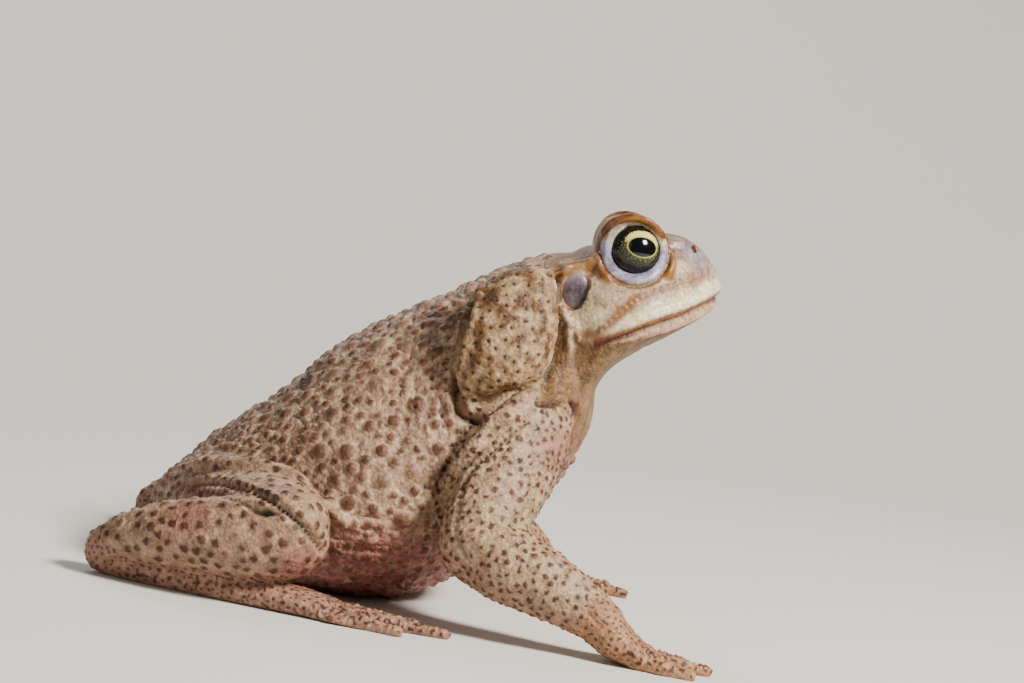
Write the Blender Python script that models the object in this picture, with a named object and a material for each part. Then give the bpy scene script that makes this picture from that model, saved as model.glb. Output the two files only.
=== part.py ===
"""Cane toad, life size, sitting up on its haunches with straightened forelegs.

Units are metres. +X points the way the toad faces, +Y to its left, +Z up.
All tables below are in millimetres, and MM turns them into metres.
The body is modelled whole, blended, and then parted by thin cuts into named pieces.
"""

import math
import random

import bmesh
import bpy
import numpy as np
from mathutils import Matrix, Vector
from mathutils.bvhtree import BVHTree

MM = 0.001
CUT = 0.3                # width of the thin cut between neighbouring pieces
BODY_VOXEL = 0.9         # grid on which the flesh is blended
GUIDE_VOXEL = 1.2        # grid for the flesh that crests and folds are laid along
PIECE_RATIO = 0.485      # share of each piece's faces kept once it is cut
BODY_FACES = 8950        # triangles kept for the blended flesh
RING_SIDES = 28
LIMB_SIDES = 16
FINGER_SIDES = 10
RIDGE_SIDES = 6
CAP_TURNS = (72, 50, 25)  # degrees round a limb's end at which its rings lie

# Torso and head cross-sections from the rump to the snout, in the middle plane:
# top x, top z, bottom x, bottom z, half width, and how much wider the lower half is.
TORSO = [
    (-46.0, 12.5, -42.5, 3.0, 6.0, 0.00),
    (-41.2, 19.8, -35.5, -1.5, 17.0, 0.05),
    (-33.0, 28.8, -22.5, -2.0, 26.0, 0.12),
    (-22.3, 38.2, -7.6, -1.5, 32.0, 0.16),
    (-11.4, 50.2, 6.4, -0.4, 34.0, 0.18),
    (0.1, 58.5, 19.7, 6.1, 32.0, 0.16),
    (9.8, 64.4, 30.6, 18.5, 28.0, 0.12),
    (19.3, 70.5, 38.4, 29.7, 24.0, 0.06),
    (28.0, 75.2, 42.7, 40.2, 20.0, 0.02),
    (33.4, 76.6, 43.0, 47.7, 18.5, 0.00),
]
HEAD = [
    (18.5, 67.6, 34.0, 38.0, 17.0, 0.05),
    (25.5, 72.2, 39.0, 44.0, 19.0, 0.05),
    (31.6, 74.6, 42.0, 47.8, 20.2, 0.05),
    (35.6, 78.0, 44.6, 53.3, 22.0, 0.12),
    (41.3, 79.8, 49.8, 58.4, 22.2, 0.16),
    (48.0, 82.9, 56.1, 62.8, 19.8, 0.18),
    (55.3, 83.5, 60.6, 66.1, 15.4, 0.16),
    (60.4, 81.2, 63.2, 68.2, 10.8, 0.10),
    (63.9, 77.6, 64.9, 70.9, 5.4, 0.00),
]

TORSO_BOX = 0.95         # how boxy the torso's sections are: 1 makes an oval
HEAD_BOX = 0.7           # the head's are boxier, for its flat crown

# Limb axes: x, y, z, half height and half width. Right side, so y is negative.
UPPER_ARM = [
    (26.5, -15.0, 46.0, 8.5, 8.0),
    (28.6, -22.5, 41.0, 10.2, 8.8),
    (27.2, -29.0, 33.0, 9.9, 9.0),
    (24.9, -34.8, 24.6, 8.9, 8.6),
    (23.8, -38.5, 17.8, 8.1, 7.9),
]
FOREARM = [
    (23.8, -38.5, 17.8, 8.1, 7.9),
    (30.0, -41.5, 15.4, 7.7, 7.3),
    (37.5, -43.8, 12.8, 6.8, 6.3),
    (44.5, -45.4, 10.0, 5.6, 5.1),
    (50.0, -46.2, 7.4, 4.5, 4.4),
]
PALM = [
    (50.0, -46.2, 7.2, 4.4, 4.2),
    (53.6, -46.5, 4.7, 3.9, 5.3),
    (57.2, -46.3, 3.1, 2.9, 6.0),
    (59.8, -46.0, 2.4, 2.3, 5.2),
]
# Finger roots and tips in the palm's plane: x, y of the root, middle and tip.
FINGERS = [
    (54.5, -42.0, 57.8, -38.6, 61.0, -36.2),
    (58.0, -43.6, 62.4, -40.8, 67.0, -38.6),
    (59.2, -46.4, 65.4, -45.6, 71.6, -44.4),
    (57.6, -49.6, 62.8, -51.4, 68.0, -52.4),
]
THIGH = [
    (-34.0, -8.0, 13.4, 10.0, 10.0),
    (-29.5, -18.0, 14.6, 10.6, 11.0),
    (-23.5, -28.5, 15.4, 10.5, 10.6),
    (-17.5, -38.5, 15.7, 9.9, 9.8),
    (-13.8, -44.8, 15.4, 9.3, 8.8),
]
SHANK = [
    (-13.8, -45.4, 14.4, 8.7, 8.2),
    (-21.5, -45.6, 13.0, 8.2, 7.8),
    (-30.0, -43.8, 11.9, 7.3, 7.2),
    (-39.0, -40.6, 9.9, 6.3, 6.4),
    (-45.5, -37.6, 7.6, 5.1, 5.2),
    (-49.2, -35.2, 5.6, 4.3, 4.4),
]
TARSUS = [
    (-49.2, -35.2, 4.8, 4.3, 4.4),
    (-40.0, -38.4, 3.4, 3.7, 4.1),
    (-30.0, -41.2, 3.0, 3.4, 4.4),
    (-20.0, -43.4, 2.8, 3.2, 5.2),
    (-10.0, -45.2, 2.6, 2.9, 6.2),
    (-3.5, -46.4, 2.2, 2.3, 6.6),
]
WEB = [
    (-8.0, -45.8, 1.5, 1.4, 5.5),
    (-1.0, -46.4, 1.2, 1.0, 8.0),
    (5.0, -47.2, 1.0, 0.8, 8.0),
]
TOES = [
    (-7.0, -41.4, -3.0, -39.0, 1.0, -37.4),
    (-5.0, -43.4, 1.0, -41.2, 7.0, -39.6),
    (-3.0, -45.4, 5.5, -44.4, 14.0, -43.6),
    (-3.0, -47.6, 8.5, -48.6, 20.0, -49.4),
    (-5.0, -49.8, 3.0, -52.6, 11.0, -55.2),
]
FINGER_THICK = 1.75
TOE_THICK = 1.65

# The left foreleg stands further back than the right one.
LEFT_ELBOW_SHIFT = (-9.0, 1.0, 0.0)
LEFT_HAND_SHIFT = (-14.0, 1.0, 0.0)

# Parotoid gland behind each ear: centre, half sizes, lean, slope of its top and boxiness.
PAROTOID_CENTRE = (22.9, -21.0, 58.6)
PAROTOID_HALF = (9.6, 8.8, 13.6)
PAROTOID_LEAN = math.radians(-21.0)
PAROTOID_SLOPE = 0.38
PAROTOID_BOX = 0.74

# Eye, the bony socket round it, and its lid, a ring that lies on the eyeball.
EYE_CENTRE = (45.6, -15.2, 79.3)
EYE_RADIUS = 5.7
EYE_AXIS = (0.10, -1.0, 0.08)
SOCKET_CENTRE = (45.0, -12.2, 79.1)
SOCKET_HALF = (7.4, 7.5, 6.8)
SOCKET_BOX = 0.8
TEMPLE_CENTRE = (35.2, -12.6, 69.6)
TEMPLE_HALF = (7.4, 7.0, 6.4)
LID_PLANE = 2.0
LID_RADIUS = 5.8
LID_THICK = 1.1
LID_RINGS = 20
LID_SIDES = 6
BORE_REACH = (14.0, 24.0)  # how far out the bore that clears the eye's front reaches
BROW_CREST = [
    (38.6, -16.6, 82.4), (40.2, -17.6, 84.8), (42.9, -18.3, 86.3),
    (46.2, -18.5, 86.6), (49.0, -18.0, 85.6), (50.9, -17.2, 84.1),
]
EYE_FRONT_CREST = [
    (51.6, -15.6, 82.6), (53.0, -15.4, 79.8), (53.2, -15.8, 77.0), (52.4, -16.2, 74.6),
]
CANTHAL_CREST = [(51.6, -12.8, 82.6), (55.4, -10.4, 82.6), (58.8, -7.6, 81.6)]
EAR_CREST = [
    (31.0, -19.4, 73.0), (34.2, -19.4, 76.6), (37.6, -19.4, 76.8), (41.2, -20.4, 73.6),
]
CREST_THICK = 1.3
BROW_THICK = 1.3
EAR_CENTRE = (35.3, -20.6, 69.5)
EAR_HALF = (2.8, 1.5, 3.3)
NOSTRIL = (57.6, -8.7, 80.6)
NOSTRIL_RADIUS = 0.85

# Mouth line from the snout's tip back to the right corner of the mouth, and the lip over it.
MOUTH = [
    (65.4, 0.0, 72.6), (64.6, -4.6, 72.2), (61.6, -10.2, 71.0), (56.4, -15.6, 68.4),
    (50.2, -19.8, 65.2), (44.4, -22.0, 61.4), (41.0, -22.2, 59.0),
]
MOUTH_THICK = 0.62
LIP_RISE = 2.0
LIP_THICK = 1.3

# Folds of loose skin: along the flank over the thigh, and from the gland to the belly.
FLANK_FOLD = [
    (-39.0, -21.0, 24.1), (-31.5, -28.0, 25.8), (-23.8, -33.0, 26.6),
    (-15.0, -36.0, 25.6), (-7.6, -36.0, 21.4), (-3.0, -35.0, 16.8),
]
ARM_FOLD = [
    (31.6, -27.0, 49.2), (27.8, -30.2, 45.6), (23.6, -32.8, 41.4),
    (19.6, -34.0, 34.8), (17.6, -33.2, 27.0),
]
FOLD_THICK = 1.9

# Cuts between pieces: how far each limb's region reaches past its flesh, how deep a limb
# or gland is let into the trunk, and the plane that parts the head from the torso.
REGION_GROW = 2.0
REGION_SIDES = 10
GLAND_GROW = 1.2
GLAND_SIDES = 14
FOOT_GROW = 0.5
ROOT_DEPTH = 1.6
HEAD_PLANE_POINT = (29.8, 0.0, 72.0)
HEAD_PLANE_NORMAL = (0.93, 0.0, 0.37)
BLOCK_SIZE = 130.0       # blocks larger than the head, and than a hand, stand on their cuts
HAND_BLOCK = 30.0
SMOOTH_ANGLE = math.radians(55.0)
FIRM_FLOOR = 5.5         # feet below this height, and the face ahead of this x above this z,
FIRM_FACE = (36.0, 50.0)  # are softened only by this share where the flesh is blended
FIRM_SHARE = 0.35
FLOOR_SNAP = 0.05        # points this near the floor are put on it
SOLE_DROP = 0.45         # how much of the sunken soles and belly the floor cuts off

# Warts, in a seeded draw: how many on each piece, their least and greatest radius, and the
# height above the floor that they start from.
WART_SEED = 7
WART_SIDES = 6
WART_COUNTS = {
    "torso": (92, 1.5, 2.6, 15.0),
    "thigh": (10, 1.0, 1.5, 15.0),
    "shank": (11, 0.9, 1.4, 9.0),
    "forearm": (9, 0.8, 1.1, 9.0),
    "upper_arm": (9, 0.8, 1.1, 16.0),
    "parotoid": (13, 0.9, 1.4, 40.0),
}
WART_RISE = 0.5          # height over radius
WART_ROOT = 1.0          # how deep a wart's root lies under the skin
WART_GAP = 1.28          # least distance between wart centres over the sum of their radii
WART_CLEAR = 0.9         # least distance from a wart's rim to the next piece
WART_LOWEST = -0.35      # no warts where the skin faces down, or forward, more than this
WART_FOREMOST = 0.45
WART_TRIES = 60          # draws for each wart wanted
WART_WAIST = 0.62        # a wart's upper ring: its share of the radius, and of the height
WART_SHOULDER = 0.7
WART_FOOT = 1.15         # the buried ring's share of the radius

# Each piece's colour and roughness.
FINISHES = {
    "torso": ((0.46, 0.30, 0.18), 0.62),
    "head": ((0.56, 0.40, 0.25), 0.55),
    "parotoid": ((0.44, 0.30, 0.16), 0.62),
    "upper_arm": ((0.52, 0.37, 0.24), 0.6),
    "forearm": ((0.52, 0.37, 0.24), 0.6),
    "hand": ((0.46, 0.26, 0.13), 0.6),
    "thigh": ((0.46, 0.30, 0.18), 0.62),
    "shank": ((0.46, 0.30, 0.18), 0.62),
    "foot": ((0.50, 0.33, 0.22), 0.6),
    "eye": ((0.03, 0.03, 0.02), 0.08),
    "tympanum": ((0.24, 0.19, 0.20), 0.45),
}


def clear_scene():
    for thing in list(bpy.data.objects):
        bpy.data.objects.remove(thing, do_unlink=True)


def skin_material(name, colour, roughness):
    material = bpy.data.materials.new(name)
    material.use_nodes = True
    shader = material.node_tree.nodes["Principled BSDF"]
    shader.inputs["Base Color"].default_value = (*colour, 1.0)
    shader.inputs["Roughness"].default_value = roughness
    shader.inputs["Metallic"].default_value = 0.0
    return material


def smooth_rows(rows, steps):
    """Rows read off a smooth curve that passes through each given row."""
    rows = np.array(rows, float)
    padded = np.vstack([2 * rows[0] - rows[1], rows, 2 * rows[-1] - rows[-2]])
    made = []
    for before, start, end, after in zip(padded, padded[1:], padded[2:], padded[3:]):
        for t in np.linspace(0.0, 1.0, steps, endpoint=False):
            a = 2 * start
            b = end - before
            c = 2 * before - 5 * start + 4 * end - after
            d = 3 * start - before - 3 * end + after
            made.append(0.5 * (a + b * t + c * t * t + d * t ** 3))
    made.append(rows[-1])
    return np.array(made)


def mesh_object(name, points, faces):
    """An object from points in millimetres, with its faces turned outwards."""
    mesh = bpy.data.meshes.new(name)
    mesh.from_pydata([tuple(p * MM) for p in np.asarray(points, float)], [], faces)
    shape = bmesh.new()
    shape.from_mesh(mesh)
    bmesh.ops.recalc_face_normals(shape, faces=shape.faces)
    bmesh.ops.triangulate(shape, faces=[f for f in shape.faces if len(f.verts) > 4])
    shape.to_mesh(mesh)
    shape.free()
    thing = bpy.data.objects.new(name, mesh)
    bpy.context.collection.objects.link(thing)
    return thing


def bridge_rings(name, rings, tip=None):
    """A closed shape through rings of points, each end drawn to its middle or to a tip."""
    count = len(rings[0])
    points = [p for ring in rings for p in ring]
    faces = []
    for k in range(len(rings) - 1):
        for i in range(count):
            j = (i + 1) % count
            a, b = k * count, (k + 1) * count
            faces.append((a + i, a + j, b + j, b + i))
    for ring, start in ((rings[0], 0), (rings[-1], (len(rings) - 1) * count)):
        points.append(tip if tip is not None and start else np.mean(ring, axis=0))
        middle = len(points) - 1
        for i in range(count):
            faces.append((start + i, start + (i + 1) % count, middle))
    return mesh_object(name, points, faces)


def trunk(name, sections, grow=0.0, sides=RING_SIDES, steps=4, boxy=TORSO_BOX):
    """The torso or head, through its cross-sections in the middle plane."""
    rings = []
    angles = np.linspace(0.0, 2 * math.pi, sides, endpoint=False)
    for tx, tz, bx, bz, half_width, pear in smooth_rows(sections, steps):
        top, bottom = np.array([tx, 0, tz]), np.array([bx, 0, bz])
        middle, up = (top + bottom) / 2, (top - bottom) / 2
        up = up * (1 + grow / np.linalg.norm(up))
        width = half_width + grow
        ring = []
        for angle in angles:
            side = math.copysign(abs(math.cos(angle)) ** boxy, math.cos(angle))
            rise = math.copysign(abs(math.sin(angle)) ** boxy, math.sin(angle))
            ring.append(middle + up * rise + np.array([0, width * side * (1 - pear * rise), 0]))
        rings.append(ring)
    return bridge_rings(name, rings)


def limb(name, rows, grow=0.0, sides=LIMB_SIDES, steps=3):
    """A limb round its axis, oval in section, with round ends."""
    line = smooth_rows(rows, steps)
    centres = line[:, :3]
    tangents = np.gradient(centres, axis=0)
    rings = []
    angles = np.linspace(0.0, 2 * math.pi, sides, endpoint=False)

    def ring(centre, along, high, wide):
        along = along / np.linalg.norm(along)
        side = np.array([0.0, 1.0, 0.0]) - along[1] * along
        side /= np.linalg.norm(side)
        normal = np.cross(side, along)
        return [
            centre + normal * high * math.sin(a) + side * wide * math.cos(a) for a in angles
        ]

    caps = [math.radians(a) for a in CAP_TURNS]
    for turn in caps:
        end = line[0]
        along = tangents[0] / np.linalg.norm(tangents[0])
        high = end[3] + grow
        wide = end[4] + grow
        centre = end[:3] - along * min(high, wide) * math.sin(turn)
        rings.append(ring(centre, along, high * math.cos(turn), wide * math.cos(turn)))
    for row, along in zip(line, tangents):
        rings.append(ring(row[:3], along, row[3] + grow, row[4] + grow))
    for turn in reversed(caps):
        end = line[-1]
        along = tangents[-1] / np.linalg.norm(tangents[-1])
        high = end[3] + grow
        wide = end[4] + grow
        centre = end[:3] + along * min(high, wide) * math.sin(turn)
        rings.append(ring(centre, along, high * math.cos(turn), wide * math.cos(turn)))
    return bridge_rings(name, rings)


def digit_rows(digit, thick):
    """A finger or toe that lies on the floor, swollen at its joint, with a round tip."""
    root, joint, tip = (np.array(digit[i:i + 2]) for i in (0, 2, 4))
    return [
        (*root, thick * 1.25, thick * 1.2, thick * 1.25),
        (*((root + joint) / 2), thick * 1.0, thick * 0.95, thick * 0.95),
        (*joint, thick * 0.95, thick * 1.05, thick * 1.1),
        (*((joint + tip) / 2), thick * 0.8, thick * 0.85, thick * 0.85),
        (*tip, thick * 0.75, thick * 0.8, thick * 0.85),
    ]


def ridge(name, points, thick):
    """A crest, lip or fold of skin: a round cord along a smooth line, thin at its ends."""
    count = len(points)
    rows = []
    for k, point in enumerate(points):
        swell = 0.5 + 0.5 * math.sin(math.pi * (k + 0.5) / count) ** 0.6
        rows.append((*point, thick * swell, thick * swell))
    return limb(name, rows, sides=RIDGE_SIDES, steps=1)


def ellipsoid(name, centre, half, grow=0.0, lean=0.0, slope=0.0, boxy=1.0, sides=18):
    """An ellipsoid, boxier where boxy is under 1, leaned about X, its top sloped along X."""
    turn = Matrix.Rotation(lean, 3, "X")

    def power(value):
        return math.copysign(abs(value) ** boxy, value)

    made = []
    count = sides * 2 // 3
    for k in range(1, count):
        polar = math.pi * k / count
        ring = []
        for i in range(sides):
            a = 2 * math.pi * i / sides
            x = (half[0] + grow) * power(math.sin(polar)) * power(math.cos(a))
            y = (half[1] + grow) * power(math.sin(polar)) * power(math.sin(a))
            z = (half[2] + grow) * power(math.cos(polar)) + slope * x
            ring.append(np.array(centre) + np.array(turn @ Vector((x, y, z))))
        made.append(ring)
    return bridge_rings(name, made)


def block(name, point, normal, size):
    """A cube that stands on a plane, on the side that the plane's normal points to."""
    bpy.ops.mesh.primitive_cube_add(size=size * MM)
    cube = bpy.context.object
    cube.name = name
    away = Vector(normal).normalized()
    middle = Vector(point) + away * size / 2
    turn = away.to_track_quat("Z", "Y").to_matrix().to_4x4()
    cube.data.transform(Matrix.Translation(middle * MM) @ turn)
    return cube


def lid_ring(name, centre):
    """The lid: a ring of skin that lies round the eyeball."""
    axis = Vector(EYE_AXIS).normalized()
    turn = axis.to_track_quat("Z", "Y").to_matrix()
    points = []
    for k in range(LID_RINGS):
        a = 2 * math.pi * k / LID_RINGS
        for i in range(LID_SIDES):
            b = 2 * math.pi * i / LID_SIDES
            reach = LID_RADIUS + LID_THICK * math.cos(b)
            local = Vector((
                reach * math.cos(a), reach * math.sin(a), LID_PLANE + LID_THICK * math.sin(b),
            ))
            points.append(np.array(centre) + np.array(turn @ local))
    faces = []
    for k in range(LID_RINGS):
        for i in range(LID_SIDES):
            a, b = k * LID_SIDES, (k + 1) % LID_RINGS * LID_SIDES
            j = (i + 1) % LID_SIDES
            faces.append((a + i, a + j, b + j, b + i))
    return mesh_object(name, points, faces)


def tree_of(thing):
    points = [v.co.copy() for v in thing.data.vertices]
    return BVHTree.FromPolygons(points, [tuple(p.vertices) for p in thing.data.polygons])


def snapped(points, tree, lift):
    """A smooth line through points, laid on the nearest skin and lifted off it by lift."""
    made = []
    for point in smooth_rows(points, 4) if len(points) > 1 else points:
        near, normal, _, _ = tree.find_nearest(Vector(point) * MM)
        made.append(tuple(near / MM + normal * lift))
    return made


def mirrored(thing, name):
    """A copy on the left side."""
    copy = thing.copy()
    copy.data = thing.data.copy()
    copy.name = name
    copy.data.transform(Matrix.Scale(-1, 4, (0, 1, 0)))
    copy.data.flip_normals()
    bpy.context.collection.objects.link(copy)
    return copy


def moved_rows(rows, near, far):
    """Rows shifted by near at the first and by far at the last, evenly between."""
    count = len(rows) - 1
    return [
        tuple(
            value + (near[i] + (far[i] - near[i]) * k / count if i < 3 else 0.0)
            for i, value in enumerate(row)
        )
        for k, row in enumerate(rows)
    ]


def apply_modifier(thing, kind, **settings):
    modifier = thing.modifiers.new(kind, kind)
    for key, value in settings.items():
        setattr(modifier, key, value)
    bpy.ops.object.select_all(action="DESELECT")
    thing.select_set(True)
    bpy.context.view_layer.objects.active = thing
    bpy.ops.object.modifier_apply(modifier=modifier.name)


def remove(*things):
    for thing in things:
        bpy.data.objects.remove(thing, do_unlink=True)


def keep_largest(thing):
    """Only the largest closed surface stays, so no scrap of a cut is left."""
    shape = bmesh.new()
    shape.from_mesh(thing.data)
    bmesh.ops.triangulate(shape, faces=shape.faces)
    unseen = set(shape.faces)
    shells = []
    while unseen:
        stack = [unseen.pop()]
        shell = []
        while stack:
            face = stack.pop()
            shell.append(face)
            for edge in face.edges:
                for other in edge.link_faces:
                    if other in unseen:
                        unseen.discard(other)
                        stack.append(other)
        shells.append(shell)

    def volume(shell):
        return sum(
            f.verts[0].co.dot(f.verts[1].co.cross(f.verts[2].co)) for f in shell
        )

    shells.sort(key=volume)
    extra = [f for shell in shells[:-1] for f in shell]
    bmesh.ops.delete(shape, geom=extra, context="FACES")
    shape.to_mesh(thing.data)
    shape.free()


def boolean(thing, other, operation):
    apply_modifier(thing, "BOOLEAN", object=other, operation=operation, solver="MANIFOLD")


def merged(shapes):
    """Closed shapes fused into the first of them."""
    whole = shapes[0]
    for other in shapes[1:]:
        boolean(whole, other, "UNION")
    remove(*shapes[1:])
    return whole


def part_off(rest, name, region, wider):
    """The piece of the rest inside a region, and the rest less a slightly wider region."""
    piece = rest.copy()
    piece.data = rest.data.copy()
    piece.name = name
    bpy.context.collection.objects.link(piece)
    boolean(piece, region, "INTERSECT")
    keep_largest(piece)
    boolean(rest, wider, "DIFFERENCE")
    keep_largest(rest)
    remove(region, wider)
    return piece


def arm_tables(side):
    """Upper arm, forearm, palm and finger tables of one side, all as if on the right."""
    if side == "right":
        return UPPER_ARM, FOREARM, PALM, FINGERS
    still = (0.0, 0.0, 0.0)
    fingers = [
        tuple(value + LEFT_HAND_SHIFT[i % 2] for i, value in enumerate(digit))
        for digit in FINGERS
    ]
    return (
        moved_rows(UPPER_ARM, still, LEFT_ELBOW_SHIFT),
        moved_rows(FOREARM, LEFT_ELBOW_SHIFT, LEFT_HAND_SHIFT),
        moved_rows(PALM, LEFT_HAND_SHIFT, LEFT_HAND_SHIFT),
        fingers,
    )


def sunk(rows):
    """Rows let into the floor a little, so that it cuts small flats on them."""
    return [(x, y, z - SOLE_DROP, high, wide) for x, y, z, high, wide in rows]


def on_side(thing, side):
    """The shape as built for the right, or its mirror image for the left."""
    if side == "right":
        return thing
    copy = mirrored(thing, thing.name + "_left")
    remove(thing)
    return copy


def gland(grow=0.0, sides=18):
    return ellipsoid(
        "gland_mass", PAROTOID_CENTRE, PAROTOID_HALF, grow,
        PAROTOID_LEAN, PAROTOID_SLOPE, PAROTOID_BOX, sides,
    )


def foot_shapes(grow=0.0, sides=LIMB_SIDES, steps=3):
    shapes = [
        limb("tarsus_mass", sunk(TARSUS), grow, sides, steps),
        limb("web_mass", sunk(WEB), grow, sides, steps),
    ]
    for digit in TOES:
        rows = sunk(digit_rows(digit, TOE_THICK))
        shapes.append(limb("toe_mass", rows, grow, sides, steps))
    return shapes


def hand_shapes(palm, fingers):
    shapes = [limb("palm_mass", sunk(palm))]
    for digit in fingers:
        rows = sunk(digit_rows(digit, FINGER_THICK))
        shapes.append(limb("finger_mass", rows, sides=FINGER_SIDES))
    return shapes


def flesh_shapes():
    """Every mass of flesh, still as separate overlapping shapes."""
    shapes = [trunk("torso_mass", TORSO), trunk("head_mass", HEAD, boxy=HEAD_BOX)]
    for side in ("right", "left"):
        upper, fore, palm, fingers = arm_tables(side)
        made = [
            limb("upper_arm_mass", upper),
            limb("forearm_mass", fore),
            limb("thigh_mass", THIGH),
            limb("shank_mass", SHANK),
            ellipsoid("socket_mass", SOCKET_CENTRE, SOCKET_HALF, boxy=SOCKET_BOX),
            ellipsoid("temple_mass", TEMPLE_CENTRE, TEMPLE_HALF),
            gland(),
        ]
        made += hand_shapes(palm, fingers) + foot_shapes()
        shapes += [on_side(thing, side) for thing in made]
    return shapes


def joined(shapes, name):
    bpy.ops.object.select_all(action="DESELECT")
    for thing in shapes:
        thing.select_set(True)
    bpy.context.view_layer.objects.active = shapes[0]
    bpy.ops.object.join()
    shapes[0].name = name
    return shapes[0]


def skin_ridges(tree):
    """Crests, lips and folds, laid along the skin, and the brow crests over the lids."""
    shapes = []
    lip = [(x, y, z + LIP_RISE) for x, y, z in MOUTH]
    chin = [(x, y, z - LIP_RISE) for x, y, z in MOUTH[:-1]]
    brow = ridge("brow_crest", BROW_CREST, BROW_THICK)
    shapes += [mirrored(brow, "brow_crest_left"), brow]
    lines = [
        ("eye_front_crest", EYE_FRONT_CREST, CREST_THICK, 0.1),
        ("canthal_crest", CANTHAL_CREST, CREST_THICK, 0.0),
        ("ear_crest", EAR_CREST, CREST_THICK, 0.2),
        ("lip", lip, LIP_THICK, -0.3),
        ("chin", chin, LIP_THICK, -0.75),
        ("flank_fold", FLANK_FOLD, FOLD_THICK, -0.1),
        ("arm_fold", ARM_FOLD, FOLD_THICK, 0.1),
    ]
    for name, line, thick, lift in lines:
        shape = ridge(name, snapped(line, tree, lift), thick)
        shapes += [mirrored(shape, name + "_left"), shape]
    return shapes


def blended_flesh():
    """The whole toad as one smooth closed surface, cut flat where it rests on the floor."""
    guide = joined(flesh_shapes(), "guide")
    apply_modifier(guide, "REMESH", mode="VOXEL", voxel_size=GUIDE_VOXEL * MM)
    ridges = skin_ridges(tree_of(guide))
    remove(guide)
    whole = joined(flesh_shapes() + ridges, "whole")
    apply_modifier(whole, "REMESH", mode="VOXEL", voxel_size=BODY_VOXEL * MM)
    group = whole.vertex_groups.new(name="soft")
    for vertex in whole.data.vertices:
        low = vertex.co.z < FIRM_FLOOR * MM
        face = vertex.co.x > FIRM_FACE[0] * MM and vertex.co.z > FIRM_FACE[1] * MM
        group.add([vertex.index], FIRM_SHARE if low or face else 1.0, "REPLACE")
    apply_modifier(whole, "SMOOTH", factor=0.5, iterations=6, vertex_group="soft")
    apply_modifier(whole, "DECIMATE", ratio=BODY_FACES / (2 * len(whole.data.polygons)))
    floor = block("floor", (0, 0, 0), (0, 0, -1), 2 * BLOCK_SIZE)
    boolean(whole, floor, "DIFFERENCE")
    remove(floor)
    keep_largest(whole)
    return whole


def open_face(whole):
    """Eyes and eardrums set in sockets with their lids round them, mouth and nostrils cut."""
    tree = tree_of(whole)
    axis = Vector(EYE_AXIS).normalized()
    bore = limb("bore", [
        (*(Vector(EYE_CENTRE) + axis * reach), LID_RADIUS, LID_RADIUS)
        for reach in (LID_PLANE + LID_RADIUS * 0.7, *BORE_REACH)
    ])
    lid = lid_ring("lid", EYE_CENTRE)
    hole = ellipsoid("hole", EYE_CENTRE, (EYE_RADIUS + CUT,) * 3, sides=18)
    eye = ellipsoid("eye_r", EYE_CENTRE, (EYE_RADIUS,) * 3, sides=16)
    ear_at = snapped([EAR_CENTRE], tree, -0.7)[0]
    ear_hole = ellipsoid("ear_hole", ear_at, EAR_HALF, CUT, sides=12)
    ear = ellipsoid("tympanum_r", ear_at, EAR_HALF, sides=12)
    mouth = ridge("mouth", snapped(MOUTH, tree, 0.1), MOUTH_THICK)
    nostril_at = snapped([NOSTRIL], tree, 0.1)[0]
    nostril = ellipsoid("nostril", nostril_at, (NOSTRIL_RADIUS,) * 3, sides=10)
    for side in ("right", "left"):
        steps = [
            (bore, "DIFFERENCE"), (lid, "UNION"), (hole, "DIFFERENCE"),
            (ear_hole, "DIFFERENCE"), (mouth, "DIFFERENCE"), (nostril, "DIFFERENCE"),
        ]
        for tool, operation in steps:
            cutter = tool if side == "right" else mirrored(tool, tool.name + "_left")
            boolean(whole, cutter, operation)
            if side == "left":
                remove(cutter)
    remove(bore, lid, hole, ear_hole, mouth, nostril)
    keep_largest(whole)
    return [eye, mirrored(eye, "eye_l"), ear, mirrored(ear, "tympanum_l")]


def let_in(shape, depth):
    """A limb's or gland's region, less the trunk's core that it grows from."""
    core = trunk("core", TORSO, -depth, REGION_SIDES, 1)
    boolean(shape, core, "DIFFERENCE")
    remove(core)
    keep_largest(shape)
    return shape


def region_makers(side):
    """For each piece of one side, from the tips inwards, how its region is made when grown."""
    upper, fore, palm, fingers = arm_tables(side)
    wrist = Vector(palm[0][:3])
    along = Vector(fore[-1][:3]) - Vector(fore[-2][:3])
    makers = [
        ("hand", lambda g: block(
            "hand_region", wrist - along.normalized() * g, along, HAND_BLOCK)),
        ("forearm", lambda g: limb("forearm_region", fore, REGION_GROW + g, REGION_SIDES, 1)),
        ("upper_arm", lambda g: let_in(
            limb("arm_region", upper, REGION_GROW + g, REGION_SIDES, 1), ROOT_DEPTH + g)),
        ("foot", lambda g: merged(foot_shapes(FOOT_GROW + g, REGION_SIDES, 1))),
        ("shank", lambda g: limb("shank_region", SHANK, REGION_GROW + g, REGION_SIDES, 1)),
        ("thigh", lambda g: let_in(
            limb("thigh_region", THIGH, REGION_GROW + g, REGION_SIDES, 1), ROOT_DEPTH + g)),
        ("parotoid", lambda g: let_in(gland(GLAND_GROW + g, GLAND_SIDES), ROOT_DEPTH + g)),
    ]
    return makers


def parted(whole):
    """The flesh cut into its named pieces."""
    pieces = {}
    for side in ("right", "left"):
        for name, make in region_makers(side):
            region = on_side(make(0.0), side)
            wider = on_side(make(CUT), side)
            label = f"{name}_{side[0]}"
            pieces[label] = part_off(whole, label, region, wider)
    normal = Vector(HEAD_PLANE_NORMAL).normalized()
    point = Vector(HEAD_PLANE_POINT)
    region = block("head_region", point, normal, BLOCK_SIZE)
    wider = block("head_wider", point - normal * CUT, normal, BLOCK_SIZE)
    pieces["head"] = part_off(whole, "head", region, wider)
    whole.name = "torso"
    pieces["torso"] = whole
    return pieces


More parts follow.
